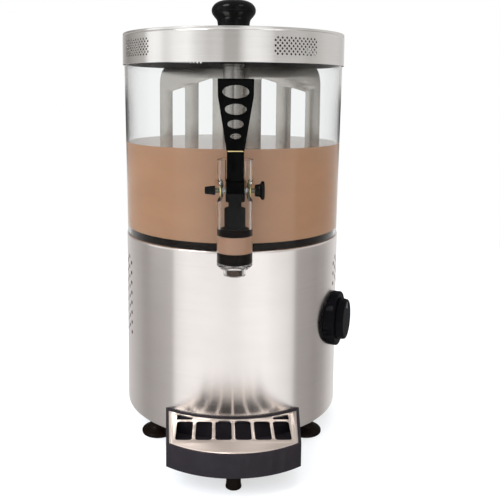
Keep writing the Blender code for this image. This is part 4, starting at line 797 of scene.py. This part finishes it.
def make_lid():
    """The lid: a rolled edge over a fine groove, a deep band pierced in four fields, and its seat ring."""
    inner, top, bottom = 0.1347, 0.4567, 0.4190
    profile = [(0.0024, top), (LID_R - 0.0002, top, 0.0014), (LID_R - 0.0002, top - 0.0026, 0.0004)]
    profile += [(LID_R - 0.0006, top - 0.0032, 0.0003), (LID_R, top - 0.0040, 0.0004), (LID_R, bottom, 0.0004)]
    profile += [(inner, bottom, 0.0004), (inner, top - 0.0010, 0.0008), (0.0024, top - 0.0010)]
    mesh = turned_mesh("pierced_lid", rounded(profile, 0.0), STEPS * 2)
    spans = []
    for middle in HOLE_FIELDS:
        for row in range(HOLE_ROWS):
            count = HOLE_COUNT - (row % 2 == 0)
            for hole in range(count):
                step = math.degrees(HOLE_PITCH / LID_R)
                azimuth = middle + (hole - (count - 1) / 2) * step
                z = HOLE_Z + (row - (HOLE_ROWS - 1) / 2) * HOLE_ROW_PITCH
                spans.append((polar(inner - 0.002, azimuth, z), polar(LID_R + 0.002, azimuth, z)))
    mesh = combined(mesh, ("DIFFERENCE", rods_mesh("hole_tool", spans, HOLE_R, 8)))
    piece("pierced_lid", mesh, LID_STEEL, "lid", ("lid_shell",))
    # Inward-facing faces take the dark grey copy of the steel: painted shade inside the lid.
    mesh.materials.append(LID_INSIDE_SHADE)
    for face in mesh.polygons:
        radial = Vector((face.center.x, face.center.y, 0.0))
        inward = face.normal.dot(radial) < -0.5 * radial.length or face.normal.z < -0.5
        if inward and radial.length < LID_R - 0.0005:
            face.material_index = 1
    line = [(0.0, 0.49965), (0.0085, 0.4995), (0.0160, 0.4985), (0.0225, 0.4955), (0.0262, 0.4912)]
    line += [(0.0273, 0.4872), (0.0265, 0.4830), (0.0240, 0.4793), (0.0212, 0.4760), (0.0200, 0.4720)]
    line += [(0.0195, 0.4660), (0.0192, 0.4572)]
    profile = flowing(line, 4) + [(0.0190, 0.4570), (0.0, 0.4570)]
    mesh = turned_mesh("mushroom_knob", profile, 96, False)
    piece("mushroom_knob", mesh, KNOB_BLACK, "lid", ("lid_knob",))


def meet_side(centre_y, radius, inset):
    """Where the tray's right side meets a circle on the Y axis: the front crossing."""
    start = TRAY_HALF_W - inset - TRAY_SLOPE * TRAY_CORNER_Y
    a = TRAY_SLOPE**2 + 1
    b = TRAY_SLOPE * start - centre_y
    c = start**2 + centre_y**2 - radius**2
    y = (-b - math.sqrt(b**2 - a * c)) / a
    return start + TRAY_SLOPE * y, y


def tray_outline(inset):
    """The tray's plan: a hollow back round the body, tapered sides and a bowed front."""
    back_r, bow_r = BODY_R + GAP + inset, TRAY_BOW_R - inset
    bow_y = TRAY_FRONT_Y + TRAY_BOW_R
    back = math.degrees(math.asin(meet_side(0.0, back_r, inset)[0] / back_r))
    bow = math.degrees(math.asin(meet_side(bow_y, bow_r, inset)[0] / bow_r))
    outline = arc((0.0, 0.0), back_r, 270 + back, 270 - back, 32)
    return outline + arc((0.0, bow_y), bow_r, 270 - bow, 270 + bow, 32)


def slab_mesh(name, outlines, low, high, edge=0.0):
    return plate_mesh(name, outlines, high - low, edge, Matrix.Translation((0, 0, (low + high) / 2)))


def make_tray():
    """The drip tray with its hooks and foot."""
    mesh = slab_mesh("tray_body", [tray_outline(0.0)], 0.0015, 0.0265)
    mesh = combined(mesh, ("DIFFERENCE", slab_mesh("mouth_tool", [tray_outline(0.0028)], 0.0241, 0.03)),
                    ("DIFFERENCE", slab_mesh("basin_tool", [tray_outline(0.0053)], 0.0040, 0.03)))
    mesh = bevelled(mesh, 0.0006, 2)
    wall = -math.sqrt(BODY_R**2 - 0.045**2)
    for side in (-1, 1):
        low = (side * 0.045 - 0.006, wall - 0.002, 0.0125)
        hook = box_mesh("hook", low, (side * 0.045 + 0.006, wall + 0.006, 0.0155))
        mesh = combined(mesh, ("UNION", bevelled(hook, 0.0004)))
    piece("tray_body", mesh, SATIN, "tray", ("drip_tray",))
    line = [(0.0078, 0.0012), (0.0077, -0.0060), (0.0077, -0.0140), (0.0080, -0.0178), (0.0084, -0.0195),
            (0.0083, -0.0206), (0.0078, -0.0210)]
    profile = [(0.0, 0.0012)] + flowing(line, 4) + [(0.0, TABLE_Z)]
    mesh = turned_mesh("front_foot", profile, PIECE_STEPS, False, Matrix.Translation((0, -BODY_R - 0.058, 0)))
    piece("front_foot", mesh, RUBBER, "tray", ("tray_foot",))


def make_grille():
    """The steel grille: a lipped sheet with windows, and two slots at the back."""
    top = 0.0258
    mesh = slab_mesh("steel_grille", [tray_outline(0.0031)], top - 0.0014, top)
    recess = slab_mesh("recess_tool", [tray_outline(0.0076)], top - 0.0008, top + 0.004)
    windows = []
    for window in range(6):
        left = (window - 3) * WINDOW_PITCH + 0.0017
        right = left + WINDOW_W
        corners = [(left, WINDOW_FRONT), (right, WINDOW_FRONT), (right, WINDOW_BACK), (left, WINDOW_BACK)]
        windows.append(rounded(corners, 0.0042, True, 5))
    back_r = BODY_R + GAP + 0.0028 + 0.003
    for side in (-1, 1):
        slot = [(side * 0.0625, -BODY_R - 0.0025), (side * 0.045, -BODY_R - 0.0025)]
        slot += [(side * x, -math.sqrt(back_r**2 - x**2)) for x in (0.045, 0.0538, 0.0625)]
        windows.append(rounded(slot if side > 0 else slot[::-1], 0.0012, True, 4))
    cuts = [("DIFFERENCE", recess)]
    for window in windows:
        cuts.append(("DIFFERENCE", slab_mesh("window_tool", [window], top - 0.005, top + 0.005)))
    mesh = bevelled(combined(mesh, *cuts), 0.00025, 2)
    piece("steel_grille", mesh, GRILLE_STEEL, "grille", ("drip_grille",))


def make_rear():
    """The rocker switch and the cable gland in the rear wall."""
    frame = outward(180, 0.070)
    low = (-0.018, -0.014, BODY_R - 0.004)
    housing = box_mesh("switch_frame", low, (0.018, 0.014, BODY_R + 0.003), frame)
    housing = bevelled(housing, 0.001, 3)
    seat = rods_mesh("switch_seat", [((0, 0, -0.05), (0, 0, 0.4))], BODY_R + GAP, STEPS * 2)
    inside = box_mesh("switch_body", (-0.015, -0.011, BODY_R - 0.018), (0.015, 0.011, BODY_R + 0.0015), frame)
    well = box_mesh("well_tool", (-0.012, -0.008, BODY_R - 0.015), (0.012, 0.008, BODY_R + 0.01), frame)
    mesh = combined(housing, ("DIFFERENCE", seat), ("UNION", inside), ("DIFFERENCE", well))
    piece("switch_bezel", mesh, SATIN, "base", ("switch_frame",))
    frame = outward(180, 0.026)
    foot = BODY_R + 0.0006
    profile = [(0.0042, foot + 0.019, 0.0004), (0.0070, foot + 0.019, 0.0012), (0.0100, foot + 0.0125, 0.0030)]
    profile += [(0.0100, foot, 0.0004), (0.0075, foot, 0.0), (0.0075, BODY_R - 0.009), (0.0042, BODY_R - 0.009)]
    mesh = turned_mesh("gland_body", rounded(profile, 0.0004), PIECE_STEPS, True, frame)
    nut = [(0.0120, foot + 0.006), (0.0120, foot), (0.008, foot), (0.008, foot + 0.006)]
    hexagon = turned_mesh("gland_hex", nut, 6, True, frame)
    mesh = combined(mesh, ("UNION", bevelled(hexagon, 0.0004)))
    piece("gland_body", mesh, SATIN, "base", ("cable_gland",))


def make_camera():
    data = bpy.data.cameras.new("camera")
    data.sensor_width = 36.0
    data.lens = FOCAL_PX / IMAGE * data.sensor_width
    data.shift_x = (IMAGE / 2 - CENTRE_PX[0]) / IMAGE
    data.shift_y = (CENTRE_PX[1] - IMAGE / 2) / IMAGE
    obj = bpy.data.objects.new("camera", data)
    bpy.context.scene.collection.objects.link(obj)
    turn = Matrix.Rotation(math.radians(CAMERA_AZIMUTH), 4, "Z")
    place = Matrix.Translation((0.0, -CAMERA_DISTANCE, CAMERA_Z))
    tip = Matrix.Rotation(math.radians(90 - CAMERA_PITCH), 4, "X")
    roll = Matrix.Rotation(math.radians(CAMERA_ROLL), 4, "Z")
    obj.matrix_world = turn @ place @ tip @ roll
    bpy.context.scene.camera = obj


def tones(nodes, direction, stops):
    """A grey that depends on the azimuth of a direction."""
    parts = nodes.add("ShaderNodeSeparateXYZ", {0: direction}).outputs
    toward = nodes.math("MULTIPLY", parts["Y"], -1.0)
    azimuth = nodes.math("ARCTAN2", parts["X"], toward)
    place = nodes.math("MULTIPLY_ADD", azimuth, 1 / (2 * math.pi), 0.5)
    found = [((degrees + 180) / 360, (value, value**1.04, value**1.07)) for degrees, value in stops]
    return nodes.ramp(place, found)


def ray_kinds(nodes):
    """Flags for the background as the eye sees it, also through clear plastic, and for light on the object."""
    path = nodes.add("ShaderNodeLightPath").outputs
    seen = nodes.math("MAXIMUM", path["Is Camera Ray"], path["Is Transmission Ray"])
    bounced = nodes.math("ADD", path["Glossy Depth"], path["Diffuse Depth"])
    return nodes.math("MULTIPLY", seen, nodes.math("LESS_THAN", bounced, 0.5)), path["Diffuse Depth"]


def lamp_glow(nodes, direction, azimuth, lift, size, strength):
    """A soft round lamp in the mirrored studio."""
    aim = polar(math.cos(math.radians(lift)), azimuth, math.sin(math.radians(lift)))
    product = nodes.add("ShaderNodeVectorMath", {0: direction, 1: tuple(aim)}, operation="DOT_PRODUCT")
    near = product.outputs["Value"]
    edge = math.cos(math.radians(size))
    return nodes.add(
        "ShaderNodeMapRange", {"Value": near, "From Min": edge, "From Max": (edge + 1) / 2, "To Max": strength}
    ).outputs[0]


def make_world():
    """White to the eye, an even light on the object, and a toned studio for what metal mirrors."""
    world = bpy.data.worlds.new("studio")
    bpy.context.scene.world = world
    world.use_nodes = True
    nodes = Nodes(world.node_tree)
    direction = nodes.add("ShaderNodeTexCoord").outputs["Generated"]
    side, back, lift = nodes.add("ShaderNodeSeparateXYZ", {0: direction}).outputs
    upper = nodes.add("ShaderNodeMapRange", {"Value": lift, "From Min": -0.13, "From Max": -0.06}).outputs[0]
    over = nodes.add("ShaderNodeMapRange", {"Value": lift, "From Min": 0.50, "From Max": 0.80}).outputs[0]
    mirrored = nodes.mix(upper, tones(nodes, direction, LOW_TONES), tones(nodes, direction, HIGH_TONES))
    mirrored = nodes.mix(over, mirrored, (0.55, 0.55, 0.55, 1.0))
    behind = nodes.add("ShaderNodeMapRange", {"Value": back, "From Min": 0.80, "From Max": 0.92}).outputs[0]
    level = nodes.add("ShaderNodeMapRange", {"Value": lift, "From Min": 0.01, "From Max": -0.02}).outputs[0]
    belt = nodes.math("MULTIPLY", nodes.math("MULTIPLY", behind, level), upper)
    mirrored = nodes.mix(belt, mirrored, (0.10, 0.10, 0.10, 1.0))
    left_lamp = lamp_glow(nodes, direction, -58, 52, 16, 7.0)
    lamps = nodes.math("ADD", left_lamp, lamp_glow(nodes, direction, 50, 50, 12, 3.0))
    mirrored = nodes.mix(1.0, mirrored, lamps, "ADD")
    rightward = nodes.math("MULTIPLY_ADD", side, 0.5, 0.5)
    falling = nodes.mix(rightward, (1.50, 1.63, 1.82, 1.0), (0.60, 0.60, 0.57, 1.0))
    dim = nodes.add("ShaderNodeBackground", {"Color": falling, "Strength": 1.25}).outputs[0]
    grey = nodes.add("ShaderNodeBackground", {"Color": mirrored, "Strength": 1.0}).outputs[0]
    white = nodes.add("ShaderNodeBackground", {"Color": (1, 1, 1, 1), "Strength": 1.0}).outputs[0]
    seen, diffuse = ray_kinds(nodes)
    shown = nodes.add("ShaderNodeMixShader", {0: diffuse, 1: grey, 2: dim}).outputs[0]
    shown = nodes.add("ShaderNodeMixShader", {0: seen, 1: shown, 2: white}).outputs[0]
    nodes.put(world.node_tree.nodes["World Output"].inputs["Surface"], shown)


def floor_material():
    """White where it is seen, with the object's shadow; open to mirrored rays, so metal shows the studio."""
    made, nodes, shader = material("floor_white")
    made.node_tree.nodes.remove(shader)
    place = nodes.add("ShaderNodeNewGeometry").outputs["Position"]
    reach = nodes.add("ShaderNodeVectorMath", {0: place}, operation="LENGTH").outputs["Value"]
    far = nodes.add(
        "ShaderNodeMapRange", {"Value": reach, "From Min": 0.40, "From Max": 1.30}, interpolation_type="SMOOTHSTEP"
    ).outputs[0]
    plain = nodes.add("ShaderNodeBsdfDiffuse", {"Color": (0.85, 0.85, 0.85, 1.0)}).outputs[0]
    glow = nodes.add("ShaderNodeEmission", {"Color": (1, 1, 1, 1), "Strength": 0.60}).outputs[0]
    shaded = nodes.add("ShaderNodeBsdfDiffuse", {"Color": (0.42, 0.42, 0.42, 1.0)}).outputs[0]
    near = nodes.add("ShaderNodeAddShader", {0: glow, 1: shaded}).outputs[0]
    white = nodes.add("ShaderNodeEmission", {"Color": (1, 1, 1, 1), "Strength": 1.0}).outputs[0]
    white = nodes.add("ShaderNodeMixShader", {0: far, 1: near, 2: white}).outputs[0]
    through = nodes.add("ShaderNodeBsdfTransparent").outputs[0]
    seen, diffuse = ray_kinds(nodes)
    mixed = nodes.add("ShaderNodeMixShader", {0: diffuse, 1: through, 2: plain}).outputs[0]
    mixed = nodes.add("ShaderNodeMixShader", {0: seen, 1: mixed, 2: white}).outputs[0]
    nodes.put(made.node_tree.nodes["Material Output"].inputs["Surface"], mixed)
    return made


def make_floor():
    shape = bmesh.new()
    bmesh.ops.create_grid(shape, x_segments=2, y_segments=2, size=FLOOR_SIZE / 2)
    mesh = bpy.data.meshes.new("floor")
    shape.to_mesh(mesh)
    shape.free()
    floor = bpy.data.objects.new("floor", mesh)
    floor.location = (0.0, 0.0, TABLE_Z - 0.0002)
    bpy.context.scene.collection.objects.link(floor)
    mesh.materials.append(floor_material())


def area_light(name, place, aim, size, power, colour=(1.0, 1.0, 1.0)):
    data = bpy.data.lights.new(name, "AREA")
    data.shape = "RECTANGLE"
    data.size, data.size_y = size
    data.energy = power
    data.color = colour
    obj = bpy.data.objects.new(name, data)
    bpy.context.scene.collection.objects.link(obj)
    obj.location = place
    obj.rotation_euler = (Vector(aim) - Vector(place)).to_track_quat("-Z", "Y").to_euler()
    obj.visible_glossy = False
    obj.visible_transmission = False


def main():
    finish_nodes()
    make_camera()
    make_world()
    make_floor()
    make_shell()
    make_feet()
    make_dial()
    make_bowl()
    make_paddle()
    make_barrel()
    make_piston()
    make_lever()
    make_lid()
    make_tray()
    make_grille()
    make_rear()
    area_light("key", (-1.5, -1.0, 1.1), (0, 0, 0.25), (1.0, 1.2), 14, (0.90, 1.0, 1.16))
    area_light("fill", (1.4, -1.2, 1.2), (0, 0, 0.2), (1.0, 1.2), 6)
    area_light("top", (0.0, 0.1, 1.9), (0, 0, 0.2), (1.4, 1.4), 12)
    scene = bpy.context.scene
    scene.view_settings.view_transform = "Standard"


main()
